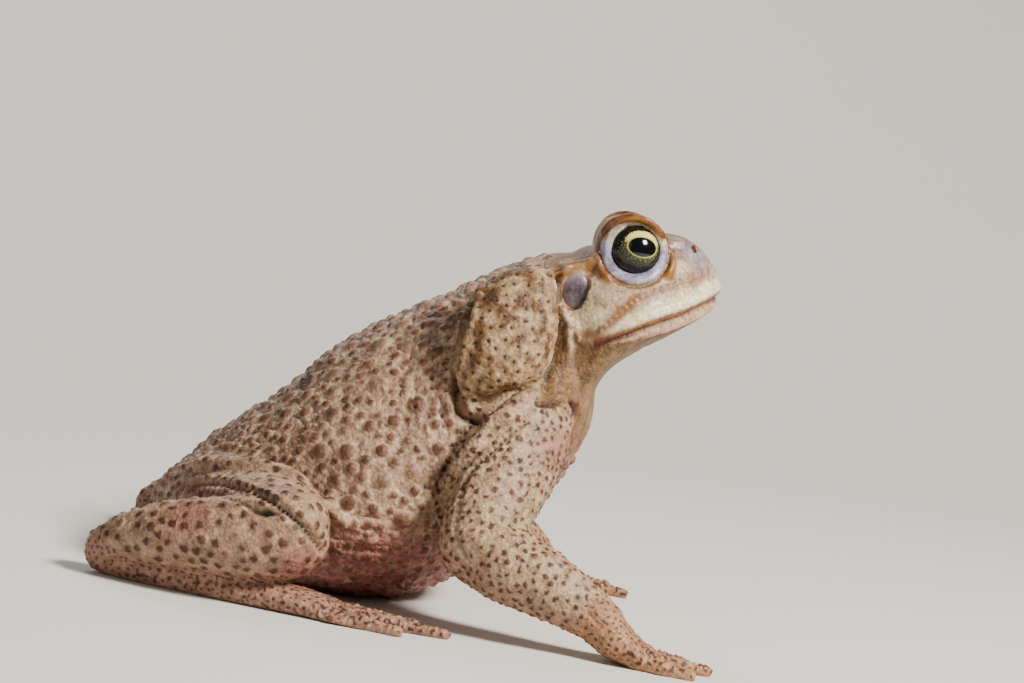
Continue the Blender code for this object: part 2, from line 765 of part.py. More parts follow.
def wart(name, centre, normal, radius, draw):
    """A low dome with a blunt tip, its root sunk in the skin."""
    turn = normal.to_track_quat("Z", "Y").to_matrix()
    rise = radius * WART_RISE
    spin = draw.uniform(0.0, math.pi)
    rings = []
    for level, share in ((-WART_ROOT, WART_FOOT), (rise * WART_SHOULDER, WART_WAIST)):
        ring = []
        for i in range(WART_SIDES):
            a = spin + 2 * math.pi * i / WART_SIDES
            local = Vector((radius * share * math.cos(a), radius * share * math.sin(a), level))
            ring.append(np.array(centre) + np.array(turn @ local))
        rings.append(ring)
    return bridge_rings(name, rings, np.array(centre) + np.array(normal) * rise)


def add_warts(piece, others, kind, draw):
    """Warts spread over one piece, clear of the pieces round it, and fused to it."""
    count, least, most, floor_height = WART_COUNTS[kind]
    mesh = piece.data
    trees = [tree_of(other) for other in others]
    faces = [p for p in mesh.polygons if p.center.z > floor_height * MM]
    sizes = np.cumsum([p.area for p in faces])
    placed = []
    group = bpy.data.collections.new(piece.name + "_warts")
    for _ in range(count * WART_TRIES):
        if len(placed) == count:
            break
        face = faces[int(np.searchsorted(sizes, draw.random() * sizes[-1]))]
        corners = [mesh.vertices[v].co for v in face.vertices]
        u, v = sorted((draw.random(), draw.random()))
        centre = corners[0] * u + corners[1] * (v - u) + corners[2] * (1 - v)
        shrink = 1.0 - 0.75 * len(placed) / count
        radius = least + (most - least) * shrink * draw.uniform(0.75, 1.0)
        if face.normal.z < WART_LOWEST or face.normal.x > WART_FOREMOST:
            continue
        if any((centre / MM - c).length < WART_GAP * (radius + r) for c, r in placed):
            continue
        reach = (radius + WART_CLEAR) * MM
        if any(tree.find_nearest(centre, reach)[0] is not None for tree in trees):
            continue
        placed.append((centre / MM, radius))
        shape = wart(f"wart_{len(placed)}", centre / MM, face.normal, radius, draw)
        group.objects.link(shape)
        bpy.context.collection.objects.unlink(shape)
    apply_modifier(
        piece, "BOOLEAN", operand_type="COLLECTION", collection=group,
        operation="UNION", solver="MANIFOLD",
    )
    remove(*group.objects)
    bpy.data.collections.remove(group)
    keep_largest(piece)


def thinned(piece):
    """The slivers that the cuts leave are merged into their neighbours."""
    apply_modifier(piece, "DECIMATE", ratio=PIECE_RATIO, use_collapse_triangulate=True)
    keep_largest(piece)


def finish(pieces):
    """Smooth shading, materials, and the origin put under the middle of the toad."""
    corners = np.array([v.co for thing in pieces for v in thing.data.vertices])
    low, high = corners.min(axis=0), corners.max(axis=0)
    shift = Vector(((low[0] + high[0]) / -2, (low[1] + high[1]) / -2, 0.0))
    for thing in pieces:
        for vertex in thing.data.vertices:
            if vertex.co.z < FLOOR_SNAP * MM:
                vertex.co.z = 0.0
        thing.data.transform(Matrix.Translation(shift))
        thing.data.materials.clear()
        colour, roughness = FINISHES[thing.name.rsplit("_", 1)[0]]
        thing.data.materials.append(skin_material(thing.name, colour, roughness))
        thing.vertex_groups.clear()
        bpy.ops.object.select_all(action="DESELECT")
        thing.select_set(True)
        bpy.context.view_layer.objects.active = thing
        bpy.ops.object.shade_smooth_by_angle(angle=SMOOTH_ANGLE)


def main():
    clear_scene()
    whole = blended_flesh()
    small = open_face(whole)
    pieces = parted(whole)
    for piece in pieces.values():
        thinned(piece)
    draw = random.Random(WART_SEED)
    for name, piece in pieces.items():
        kind = name.rsplit("_", 1)[0]
        if kind in WART_COUNTS:
            others = [p for p in pieces.values() if p is not piece]
            add_warts(piece, others, kind, draw)
    finish([*pieces.values(), *small])


main()
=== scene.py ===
"""Cane toad, life size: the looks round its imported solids."""

import math
import random

import bmesh
import bpy
import numpy as np
from mathutils import Matrix, Vector
from mathutils import noise as soft_noise
from mathutils.bvhtree import BVHTree
from mathutils.kdtree import KDTree


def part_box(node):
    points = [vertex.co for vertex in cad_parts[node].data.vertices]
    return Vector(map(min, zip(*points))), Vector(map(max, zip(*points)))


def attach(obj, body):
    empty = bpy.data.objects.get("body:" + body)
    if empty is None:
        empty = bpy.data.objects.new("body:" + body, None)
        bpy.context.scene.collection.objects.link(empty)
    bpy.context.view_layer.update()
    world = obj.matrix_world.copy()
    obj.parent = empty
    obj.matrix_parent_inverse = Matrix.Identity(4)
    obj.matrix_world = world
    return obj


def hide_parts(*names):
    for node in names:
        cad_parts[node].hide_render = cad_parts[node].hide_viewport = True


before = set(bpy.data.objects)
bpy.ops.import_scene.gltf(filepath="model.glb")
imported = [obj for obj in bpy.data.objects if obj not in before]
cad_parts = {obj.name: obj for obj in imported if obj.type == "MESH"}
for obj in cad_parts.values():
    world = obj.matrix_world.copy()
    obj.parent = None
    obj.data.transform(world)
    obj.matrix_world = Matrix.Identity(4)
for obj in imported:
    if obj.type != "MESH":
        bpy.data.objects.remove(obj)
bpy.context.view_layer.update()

# The flesh: muscle and bone under the skin, as overlapping masses in the toad's sitting
# pose. Tables are in millimetres, and the right eye's socket gives their place in the frame.
MM = 0.001
TORSO = [
    (-46.0, 12.5, -42.5, 3.0, 6.0, 0.00),
    (-41.2, 19.8, -35.5, -1.5, 17.0, 0.05),
    (-33.0, 28.8, -22.5, -2.0, 26.0, 0.12),
    (-22.3, 38.2, -7.6, -1.5, 32.0, 0.16),
    (-11.4, 50.2, 6.4, -0.4, 34.0, 0.18),
    (0.1, 58.5, 19.7, 6.1, 32.0, 0.16),
    (9.8, 64.4, 30.6, 18.5, 28.0, 0.12),
    (19.3, 70.5, 38.4, 29.7, 24.0, 0.06),
    (28.0, 75.2, 42.7, 40.2, 20.0, 0.02),
    (33.4, 76.6, 43.0, 47.7, 18.5, 0.00),
]
HEAD = [
    (18.5, 67.6, 34.0, 38.0, 17.0, 0.05),
    (25.5, 72.2, 39.0, 44.0, 19.0, 0.05),
    (31.6, 74.6, 42.0, 47.8, 20.2, 0.05),
    (35.6, 78.0, 44.6, 53.3, 22.0, 0.12),
    (41.3, 79.8, 49.8, 58.4, 22.2, 0.16),
    (48.0, 82.9, 56.1, 62.8, 19.8, 0.18),
    (55.3, 83.5, 60.6, 66.1, 15.4, 0.16),
    (60.4, 81.2, 63.2, 68.2, 10.8, 0.10),
    (63.9, 77.6, 64.9, 70.9, 5.4, 0.00),
]
HEAD_BOX = 0.7
UPPER_ARM = [
    (26.5, -15.0, 46.0, 8.5, 8.0),
    (28.6, -22.5, 41.0, 10.2, 8.8),
    (27.2, -29.0, 33.0, 9.9, 9.0),
    (24.9, -34.8, 24.6, 8.9, 8.6),
    (23.8, -38.5, 17.8, 8.1, 7.9),
]
FOREARM = [
    (23.8, -38.5, 17.8, 8.1, 7.9),
    (30.0, -41.5, 15.4, 7.7, 7.3),
    (37.5, -43.8, 12.8, 6.8, 6.3),
    (44.5, -45.4, 10.0, 5.6, 5.1),
    (50.0, -46.2, 7.4, 4.5, 4.4),
]
PALM = [
    (50.0, -46.2, 7.2, 4.4, 4.2),
    (53.6, -46.5, 4.7, 3.9, 5.3),
    (57.2, -46.3, 3.1, 2.9, 6.0),
    (59.8, -46.0, 2.4, 2.3, 5.2),
]
FINGERS = [
    (54.5, -42.0, 57.8, -38.6, 61.0, -36.2),
    (58.0, -43.6, 62.4, -40.8, 67.0, -38.6),
    (59.2, -46.4, 65.4, -45.6, 71.6, -44.4),
    (57.6, -49.6, 62.8, -51.4, 68.0, -52.4),
]
THIGH = [
    (-34.0, -8.0, 13.4, 10.0, 10.0),
    (-29.5, -18.0, 14.6, 10.6, 11.0),
    (-23.5, -28.5, 15.4, 10.5, 10.6),
    (-17.5, -38.5, 15.7, 9.9, 9.8),
    (-13.8, -44.8, 15.4, 9.3, 8.8),
]
SHANK = [
    (-13.8, -45.4, 14.4, 8.7, 8.2),
    (-21.5, -45.6, 13.0, 8.2, 7.8),
    (-30.0, -43.8, 11.9, 7.3, 7.2),
    (-39.0, -40.6, 9.9, 6.3, 6.4),
    (-45.5, -37.6, 7.6, 5.1, 5.2),
    (-49.2, -35.2, 5.6, 4.3, 4.4),
]
TARSUS = [
    (-49.2, -35.2, 4.8, 4.3, 4.4),
    (-40.0, -38.4, 3.4, 3.7, 4.1),
    (-30.0, -41.2, 3.0, 3.4, 4.4),
    (-20.0, -43.4, 2.8, 3.2, 5.2),
    (-10.0, -45.2, 2.6, 2.9, 6.2),
    (-3.5, -46.4, 2.2, 2.3, 6.6),
]
WEB = [
    (-8.0, -45.8, 1.5, 1.4, 5.5),
    (-1.0, -46.4, 1.2, 1.0, 8.0),
    (5.0, -47.2, 1.0, 0.8, 8.0),
]
TOES = [
    (-7.0, -41.4, -3.0, -39.0, 1.0, -37.4),
    (-5.0, -43.4, 1.0, -41.2, 7.0, -39.6),
    (-3.0, -45.4, 5.5, -44.4, 14.0, -43.6),
    (-3.0, -47.6, 8.5, -48.6, 20.0, -49.4),
    (-5.0, -49.8, 3.0, -52.6, 11.0, -55.2),
]
FINGER_THICK = 1.75
TOE_THICK = 1.65
SOLE_DROP = 0.45
ELBOW_SHIFT = (-9.0, 1.0, 0.0)
HAND_SHIFT = (-14.0, 1.0, 0.0)
GLAND_CENTRE = (22.9, -21.0, 58.6)
GLAND_HALF = (9.6, 8.8, 13.6)
GLAND_LEAN = math.radians(-21.0)
GLAND_SLOPE = 0.38
GLAND_BOX = 0.74
EYE_CENTRE = Vector((45.6, -15.2, 79.3))
EYE_RADIUS = 5.7
EYE_AXIS = Vector((0.10, -1.0, 0.08)).normalized()
SOCKET_CENTRE = (45.0, -12.2, 79.1)
SOCKET_HALF = (7.4, 7.5, 6.8)
SOCKET_BOX = 0.8
TEMPLE_CENTRE = (35.2, -12.6, 69.6)
TEMPLE_HALF = (7.4, 7.0, 6.4)

eye_low, eye_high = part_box("eye_r")
FRAME_SHIFT = Vector(((eye_low.x + eye_high.x) / 2 - EYE_CENTRE.x * MM, 0.0, 0.0))


def smooth_rows(rows, steps):
    """Rows read off a smooth curve that passes through each given row."""
    rows = np.array(rows, float)
    padded = np.vstack([2 * rows[0] - rows[1], rows, 2 * rows[-1] - rows[-2]])
    made = []
    for before, start, end, after in zip(padded, padded[1:], padded[2:], padded[3:]):
        for t in np.linspace(0.0, 1.0, steps, endpoint=False):
            b = end - before
            c = 2 * before - 5 * start + 4 * end - after
            d = 3 * start - before - 3 * end + after
            made.append(0.5 * (2 * start + b * t + c * t * t + d * t ** 3))
    made.append(rows[-1])
    return np.array(made)


def lofted(name, rings):
    """A closed shape through rings of points in millimetres, each end drawn to its middle."""
    count = len(rings[0])
    points = [p for ring in rings for p in ring]
    faces = []
    for k in range(len(rings) - 1):
        a, b = k * count, (k + 1) * count
        for i in range(count):
            j = (i + 1) % count
            faces.append((a + i, a + j, b + j, b + i))
    for ring, start in ((rings[0], 0), (rings[-1], (len(rings) - 1) * count)):
        points.append(np.mean(ring, axis=0))
        for i in range(count):
            faces.append((start + i, start + (i + 1) % count, len(points) - 1))
    mesh = bpy.data.meshes.new(name)
    mesh.from_pydata([tuple(np.asarray(p, float) * MM) for p in points], [], faces)
    shape = bmesh.new()
    shape.from_mesh(mesh)
    bmesh.ops.recalc_face_normals(shape, faces=shape.faces)
    shape.to_mesh(mesh)
    shape.free()
    thing = bpy.data.objects.new(name, mesh)
    bpy.context.collection.objects.link(thing)
    return thing


def power(value, boxy):
    return math.copysign(abs(value) ** boxy, value)


def trunk(name, sections, boxy=0.95):
    """The torso or head, through its cross-sections in the middle plane."""
    rings = []
    for tx, tz, bx, bz, half_width, pear in smooth_rows(sections, 6):
        top, bottom = np.array([tx, 0, tz]), np.array([bx, 0, bz])
        ring = []
        for angle in np.linspace(0.0, 2 * math.pi, 64, endpoint=False):
            side, rise = power(math.cos(angle), boxy), power(math.sin(angle), boxy)
            across = np.array([0, half_width * side * (1 - pear * rise), 0])
            ring.append((top + bottom) / 2 + (top - bottom) / 2 * rise + across)
        rings.append(ring)
    return lofted(name, rings)


def limb(name, rows, sides=28, steps=6):
    """A limb round its axis, oval in section, with round ends."""
    line = smooth_rows(rows, steps)
    tangents = np.gradient(line[:, :3], axis=0)
    tangents /= np.linalg.norm(tangents, axis=1)[:, None]
    stations = []
    for turn in (80, 66, 50, 32, 16):
        stations.append((line[0], tangents[0], -math.radians(turn)))
    stations += [(row, along, 0.0) for row, along in zip(line, tangents)]
    for turn in (16, 32, 50, 66, 80):
        stations.append((line[-1], tangents[-1], math.radians(turn)))
    rings = []
    for row, along, turn in stations:
        side = np.array([0.0, 1.0, 0.0]) - along[1] * along
        side /= np.linalg.norm(side)
        normal = np.cross(side, along)
        high, wide = row[3] * math.cos(turn), row[4] * math.cos(turn)
        middle = row[:3] + along * min(row[3], row[4]) * math.sin(turn)
        rings.append([
            middle + normal * high * math.sin(a) + side * wide * math.cos(a)
            for a in np.linspace(0.0, 2 * math.pi, sides, endpoint=False)
        ])
    return lofted(name, rings)


def digit_rows(digit, thick):
    """A finger or toe that lies on the floor, swollen at its joints, with a round tip."""
    root, joint, tip = (np.array(digit[i:i + 2]) for i in (0, 2, 4))
    return [
        (*root, thick * 1.25, thick * 1.2, thick * 1.25),
        (*((root + joint) / 2), thick * 1.0, thick * 0.95, thick * 0.95),
        (*joint, thick * 0.95, thick * 1.05, thick * 1.1),
        (*((joint + tip) / 2), thick * 0.8, thick * 0.85, thick * 0.85),
        (*tip, thick * 0.75, thick * 0.8, thick * 0.85),
    ]


def ellipsoid(name, centre, half, lean=0.0, slope=0.0, boxy=1.0, sides=40):
    """An ellipsoid, boxier where boxy is under 1, leaned about X, its top sloped along X."""
    turn = Matrix.Rotation(lean, 3, "X")
    rings = []
    for k in range(1, sides):
        polar = math.pi * k / sides
        ring = []
        for i in range(sides):
            a = 2 * math.pi * i / sides
            x = half[0] * power(math.sin(polar), boxy) * power(math.cos(a), boxy)
            y = half[1] * power(math.sin(polar), boxy) * power(math.sin(a), boxy)
            z = half[2] * power(math.cos(polar), boxy) + slope * x
            ring.append(np.array(centre) + np.array(turn @ Vector((x, y, z))))
        rings.append(ring)
    return lofted(name, rings)


def mirrored(thing):
    """A copy on the left side."""
    copy = thing.copy()
    copy.data = thing.data.copy()
    copy.data.transform(Matrix.Scale(-1, 4, (0, 1, 0)))
    copy.data.flip_normals()
    bpy.context.collection.objects.link(copy)
    return copy


def shifted(rows, near, far):
    """Rows moved by near at the first and by far at the last, evenly between."""
    count = len(rows) - 1
    return [
        tuple(v + (near[i] + (far[i] - near[i]) * k / count if i < 3 else 0.0)
              for i, v in enumerate(row))
        for k, row in enumerate(rows)
    ]


def sunk(rows):
    """Rows let into the floor a little, so that it cuts small flats on them."""
    return [(x, y, z - SOLE_DROP, high, wide) for x, y, z, high, wide in rows]


STILL = (0.0, 0.0, 0.0)
LEFT_FINGERS = [
    tuple(v + HAND_SHIFT[i % 2] for i, v in enumerate(digit)) for digit in FINGERS
]
ARMS = {
    -1: (UPPER_ARM, FOREARM, PALM, FINGERS),
    1: (
        shifted(UPPER_ARM, STILL, ELBOW_SHIFT),
        shifted(FOREARM, ELBOW_SHIFT, HAND_SHIFT),
        shifted(PALM, HAND_SHIFT, HAND_SHIFT),
        LEFT_FINGERS,
    ),
}


def flesh():
    """Every mass of flesh, still as separate overlapping shapes."""
    shapes = [trunk("torso_mass", TORSO), trunk("head_mass", HEAD, HEAD_BOX)]
    for side, (upper, fore, palm, fingers) in ARMS.items():
        made = [
            limb("upper_arm_mass", upper),
            limb("forearm_mass", fore),
            limb("thigh_mass", THIGH),
            limb("shank_mass", SHANK),
            limb("palm_mass", sunk(palm)),
            limb("tarsus_mass", sunk(TARSUS)),
            limb("web_mass", sunk(WEB)),
            ellipsoid("socket_mass", SOCKET_CENTRE, SOCKET_HALF, boxy=SOCKET_BOX),
            ellipsoid("temple_mass", TEMPLE_CENTRE, TEMPLE_HALF),
            ellipsoid(
                "gland_mass", GLAND_CENTRE, GLAND_HALF, GLAND_LEAN, GLAND_SLOPE, GLAND_BOX
            ),
        ]
        made += [limb("finger_mass", sunk(digit_rows(d, FINGER_THICK))) for d in fingers]
        made += [limb("toe_mass", sunk(digit_rows(d, TOE_THICK))) for d in TOES]
        for thing in made:
            if side > 0:
                shapes.append(mirrored(thing))
                bpy.data.objects.remove(thing)
            else:
                shapes.append(thing)
    return shapes


def joined(shapes, name):
    bpy.ops.object.select_all(action="DESELECT")
    for thing in shapes:
        thing.select_set(True)
    bpy.context.view_layer.objects.active = shapes[0]
    bpy.ops.object.join()
    shapes[0].name = name
    shapes[0].data.name = name
    return shapes[0]


def apply_modifier(thing, kind, **settings):
    modifier = thing.modifiers.new(kind, kind)
    for key, value in settings.items():
        setattr(modifier, key, value)
    bpy.ops.object.select_all(action="DESELECT")
    thing.select_set(True)
    bpy.context.view_layer.objects.active = thing
    bpy.ops.object.modifier_apply(modifier=modifier.name)


def tree_of(thing):
    points = [v.co.copy() for v in thing.data.vertices]
    return BVHTree.FromPolygons(points, [tuple(p.vertices) for p in thing.data.polygons])


GUIDE_VOXEL = 1.2        # grid for the flesh that crests and folds are laid along
guide = joined(flesh(), "guide")
apply_modifier(guide, "REMESH", mode="VOXEL", voxel_size=GUIDE_VOXEL * MM)
guide_tree = tree_of(guide)
bpy.data.objects.remove(guide)

# Bony crests over the eyes and ears, the lips, and the thick folds of loose skin. They
# are cords of flesh laid along the body's surface, and the skin blends over them.
BROW_CREST = [
    (38.6, -16.6, 82.4), (40.2, -17.6, 84.8), (42.9, -18.3, 86.3),
    (46.2, -18.5, 86.6), (49.0, -18.0, 85.6), (50.9, -17.2, 84.1),
]
EYE_FRONT_CREST = [
    (51.6, -15.6, 82.6), (53.0, -15.4, 79.8), (53.2, -15.8, 77.0), (52.4, -16.2, 74.6),
]
CANTHAL_CREST = [(51.6, -12.8, 82.6), (55.4, -10.4, 82.6), (58.8, -7.6, 81.6)]
EAR_CREST = [
    (31.0, -19.4, 73.0), (34.2, -19.4, 76.6), (37.6, -19.4, 76.8), (41.2, -20.4, 73.6),
]
MOUTH = [
    (65.4, 0.0, 72.6), (64.6, -4.6, 72.2), (61.6, -10.2, 71.0), (56.4, -15.6, 68.4),
    (50.2, -19.8, 65.2), (44.4, -22.0, 61.4), (41.0, -22.2, 59.0),
]
LIP = [(x, y, z + 2.0) for x, y, z in MOUTH]
CHIN = [(x, y, z - 2.0) for x, y, z in MOUTH[:-1]]
FLANK_FOLD = [
    (-39.0, -21.0, 24.1), (-31.5, -28.0, 25.8), (-23.8, -33.0, 26.6),
    (-15.0, -36.0, 25.6), (-7.6, -36.0, 21.4), (-3.0, -35.0, 16.8),
]
ARM_FOLD = [
    (31.6, -27.0, 49.2), (27.8, -30.2, 45.6), (23.6, -32.8, 41.4),
    (19.6, -34.0, 34.8), (17.6, -33.2, 27.0),
]
EAR_FLAP = [
    (32.9, -20.5, 66.2), (33.6, -20.6, 64.4), (34.7, -21.0, 61.4), (35.8, -21.5, 57.8),
]
EAR_FLAP_BACK = [(35.4, -20.6, 64.0), (36.3, -21.0, 62.2), (37.2, -21.5, 59.6)]
RUMP_FOLDS = [
    [(-38.5, -20.0, 23.5), (-31.9, -26.0, 25.2), (-22.3, -31.0, 25.3)],
    [(-38.8, -20.0, 20.8), (-31.7, -27.0, 22.7), (-23.5, -32.0, 23.5)],
]


def snapped(points, lift, steps=4):
    """A smooth line through points, laid on the nearest flesh and lifted off it by lift."""
    made = []
    for point in smooth_rows(points, steps) if len(points) > 1 else points:
        near, normal, _, _ = guide_tree.find_nearest(Vector(point) * MM)
        made.append(tuple(near / MM + normal * lift))
    return made


def ridge(points, thick, name="ridge"):
    """A crest, lip or fold of skin: a round cord along a line, thin at its ends."""
    count = len(points)
    rows = []
    for k, point in enumerate(points):
        swell = 0.5 + 0.5 * math.sin(math.pi * (k + 0.5) / count) ** 0.6
        rows.append((*point, thick * swell, thick * swell))
    return limb(name, rows, sides=14, steps=1)


BROW_SINK = 0.5          # the brow's cord lies this far under the crest's top line
BROW_THICK = 1.0
KNOB_CENTRE = (50.7, -17.2, 83.5)
KNOB_HALF = (1.3, 1.1, 1.1)
brow = ridge(smooth_rows([(x, y, z - BROW_SINK) for x, y, z in BROW_CREST], 3), BROW_THICK)
knob = ellipsoid("brow_knob", KNOB_CENTRE, KNOB_HALF, sides=16)
ridges = [brow, mirrored(brow), knob, mirrored(knob)]
for line, thick, lift in (
    (EYE_FRONT_CREST, 1.2, 0.1), (CANTHAL_CREST, 1.0, 0.0), (EAR_CREST, 1.3, 0.2),
    (LIP, 1.3, -0.3), (CHIN, 1.3, -0.75), (FLANK_FOLD, 1.9, -0.1), (ARM_FOLD, 1.9, 0.1),
    (EAR_FLAP, 0.78, 0.5), (EAR_FLAP_BACK, 0.68, 0.45),
    (RUMP_FOLDS[0], 1.1, -0.1), (RUMP_FOLDS[1], 1.0, -0.1),
):
    shape = ridge(snapped(line, lift), thick)
    ridges += [shape, mirrored(shape)]

# The blended body: masses and ridges under one surface, softened where flesh is soft, and
# with the face opened: eye sockets, lids, ear pits, nostrils and the mouth's line.
FINE_VOXEL = 0.46
EAR_CENTRE = (35.1, -20.6, 69.4)
EAR_HALF = (2.9, 0.9, 3.6)
EAR_PIT = (3.1, 1.6, 3.8)
NOSTRIL = (57.6, -8.7, 80.6)
NOSTRIL_RADIUS = 0.85
MOUTH_THICK = 0.62
EARDRUM_SINK = 1.15      # how deep the eardrum's middle lies in its pit
LID_PLANE = 2.0
LID_RADIUS = 5.65
LID_THICK = 1.1
LID_THINNED = 0.35       # the upper lid is this much thinner, and the lower one thicker

skin = joined(flesh() + ridges, "toad_skin")
apply_modifier(skin, "REMESH", mode="VOXEL", voxel_size=FINE_VOXEL * MM)
softness = skin.vertex_groups.new(name="soft")
count = len(skin.data.vertices)
spots = np.empty(count * 3, np.float32)
skin.data.vertices.foreach_get("co", spots)
spots = spots.reshape(-1, 3) / MM
firm = (spots[:, 2] < 5.5) | ((spots[:, 0] > 36.0) & (spots[:, 2] > 50.0))
softness.add(np.flatnonzero(firm).tolist(), 0.3, "REPLACE")
softness.add(np.flatnonzero(~firm).tolist(), 1.0, "REPLACE")
apply_modifier(skin, "SMOOTH", factor=0.5, iterations=14, vertex_group="soft")
skin.vertex_groups.clear()


def carve(tool, operation):
    """Cuts or adds a shape on the right, and its mirror image on the left."""
    for thing in (tool, mirrored(tool)):
        apply_modifier(skin, "BOOLEAN", object=thing, operation=operation, solver="MANIFOLD")
        bpy.data.objects.remove(thing)


def lid():
    """A ring of skin round the eyeball."""
    turn = EYE_AXIS.to_track_quat("Z", "Y").to_matrix().to_4x4()
    bpy.ops.mesh.primitive_torus_add(
        major_radius=LID_RADIUS * MM, minor_radius=LID_THICK * MM,
        major_segments=64, minor_segments=20,
    )
    ring = bpy.context.object
    middle = (EYE_CENTRE + EYE_AXIS * LID_PLANE) * MM
    ring.data.transform(Matrix.Translation(middle) @ turn)
    for vertex in ring.data.vertices:
        out = vertex.co - middle
        out = (out - EYE_AXIS * out.dot(EYE_AXIS)).normalized()
        core = middle + out * LID_RADIUS * MM
        vertex.co = core + (vertex.co - core) * (1.0 - LID_THINNED * out.z)
    return ring


carve(limb("bore", [
    (*(EYE_CENTRE + EYE_AXIS * reach), LID_RADIUS, LID_RADIUS)
    for reach in (LID_PLANE + LID_RADIUS * 0.7, 14.0, 24.0)
]), "DIFFERENCE")
carve(lid(), "UNION")
carve(ellipsoid("eye_hole", EYE_CENTRE, (EYE_RADIUS - 0.1,) * 3), "DIFFERENCE")
ear_at = snapped([EAR_CENTRE], -EARDRUM_SINK)[0]
carve(ellipsoid("ear_pit", snapped([EAR_CENTRE], -0.3)[0], EAR_PIT), "DIFFERENCE")
carve(ridge(snapped(MOUTH, 0.1), MOUTH_THICK), "DIFFERENCE")
nostril_at = snapped([NOSTRIL], 0.1)[0]
carve(ellipsoid("nostril", nostril_at, (NOSTRIL_RADIUS,) * 3, sides=16), "DIFFERENCE")
apply_modifier(skin, "REMESH", mode="VOXEL", voxel_size=FINE_VOXEL * 0.92 * MM)
apply_modifier(skin, "SMOOTH", factor=0.5, iterations=2)

# Warts and folds: a toad's skin is tough and dry, raised in warts of all sizes, each in a
# net of fine creases. They are pushed out of, and pressed into, the blended surface.
SEED = 11
LARGE_WARTS = ("torso", "thigh_r", "thigh_l", "shank_r", "shank_l",
               "forearm_r", "forearm_l", "upper_arm_r", "upper_arm_l")


def read_points(thing):
    """A mesh's points and normals in millimetres, as two arrays."""
    mesh = thing.data
    points = np.empty(len(mesh.vertices) * 3, np.float32)
    normals = np.empty(len(mesh.vertices) * 3, np.float32)
    mesh.vertices.foreach_get("co", points)
    mesh.vertices.foreach_get("normal", normals)
    return points.reshape(-1, 3).astype(float) / MM, normals.reshape(-1, 3).astype(float)


def to_right(points):
    """Points with those on the left side mirrored onto the right."""
    return points * np.where(points[:, 1:2] > 0, [[1, -1, 1]], [[1, 1, 1]])


def to_both(points):
    """A line on the right side, and its mirror image."""
    return [points, [p * (1, -1, 1) for p in points]]


def point_tree(points):
    made = KDTree(len(points))
    for index, point in enumerate(points):
        made.insert(point, index)
    made.balance()
    return made


def step(low, high, value):
    """0 below low, 1 above high, and smooth between."""
    t = np.clip((value - low) / (high - low), 0.0, 1.0)
    return t * t * (3 - 2 * t)


def nearness(points, rows):
    """Each point's distance from a limb's axis, over the limb's radius there."""
    line = smooth_rows(rows, 4)
    least = np.full(len(points), 99.0)
    for row in line:
        away = np.linalg.norm(points - row[:3], axis=1) / ((row[3] + row[4]) / 2)
        least = np.minimum(least, away)
    return least


def gland_depth(points):
    """1 on the parotoid gland's surface and less inside it."""
    turn = np.array(Matrix.Rotation(-GLAND_LEAN, 3, "X"))
    local = (to_right(points) - GLAND_CENTRE) @ turn.T
    local[:, 2] -= GLAND_SLOPE * local[:, 0]
    share = np.abs(local) / GLAND_HALF
    return (share ** (2 / GLAND_BOX)).sum(axis=1) ** (GLAND_BOX / 2)


def zones(points, normals):
    """How far each point belongs to each part of the body, from 0 to 1."""
    x, y, z = points.T
    made = {}
    gland = 1 - step(1.04, 1.16, gland_depth(points))
    ahead = (points - (29.8, 0.0, 72.0)) @ np.array([0.929, 0.0, 0.370])
    head = step(-1.5, 1.5, ahead) * (1 - gland) * step(38.0, 46.0, z)
    arm = np.zeros(len(points))
    hand = np.zeros(len(points))
    for side, (upper, fore, palm, fingers) in ARMS.items():
        flipped = points * (1, -side, 1)
        near = np.minimum(nearness(flipped, upper[1:]), nearness(flipped, fore))
        shoulder = 1 - step(45.0, 48.5, z + 0.12 * np.abs(x - 33.0))
        arm = np.maximum(arm, (1 - step(1.15, 1.45, near)) * shoulder * (y * side > 0))
        tips = nearness(flipped, palm)
        for digit in fingers:
            tips = np.minimum(tips, nearness(flipped, digit_rows(digit, FINGER_THICK)))
        hand = np.maximum(hand, (1 - step(1.3, 1.8, tips)) * (y * side > 0))
    even = to_right(points)
    near = np.minimum(nearness(even, THIGH[2:]), nearness(even, SHANK))
    leg = 1 - step(1.12, 1.35, near)
    toes = nearness(even, TARSUS)
    for digit in TOES:
        toes = np.minimum(toes, nearness(even, digit_rows(digit, TOE_THICK)))
    foot = (1 - step(1.3, 1.8, toes)) * (1 - step(6.0, 9.0, z))
    made["gland"] = gland
    made["head"] = head
    made["hand"] = np.maximum(hand, foot)
    made["foot"] = foot
    made["arm"] = arm * (1 - hand) * (1 - head)
    made["leg"] = leg * (1 - foot)
    limbs = np.maximum(np.maximum(made["arm"], made["leg"]), made["hand"])
    made["trunk"] = (1 - head) * (1 - gland) * (1 - limbs)
    low = 1 - step(9.0, 26.0, z + 0.25 * np.abs(x - 8.0))
    made["belly"] = made["trunk"] * np.maximum(low, step(0.25, 0.6, -normals[:, 2]))
    # The throat: the head's underside and the neck; its paint is darkened there as shade under
    # the jaw and gland.
    throat = head * step(0.1, 0.5, -normals[:, 2] + 0.03 * (62.0 - z))
    neck = made["trunk"] * step(29.0, 33.0, x) * step(30.0, 40.0, z)
    made["throat"] = np.maximum(throat, neck)
    return made


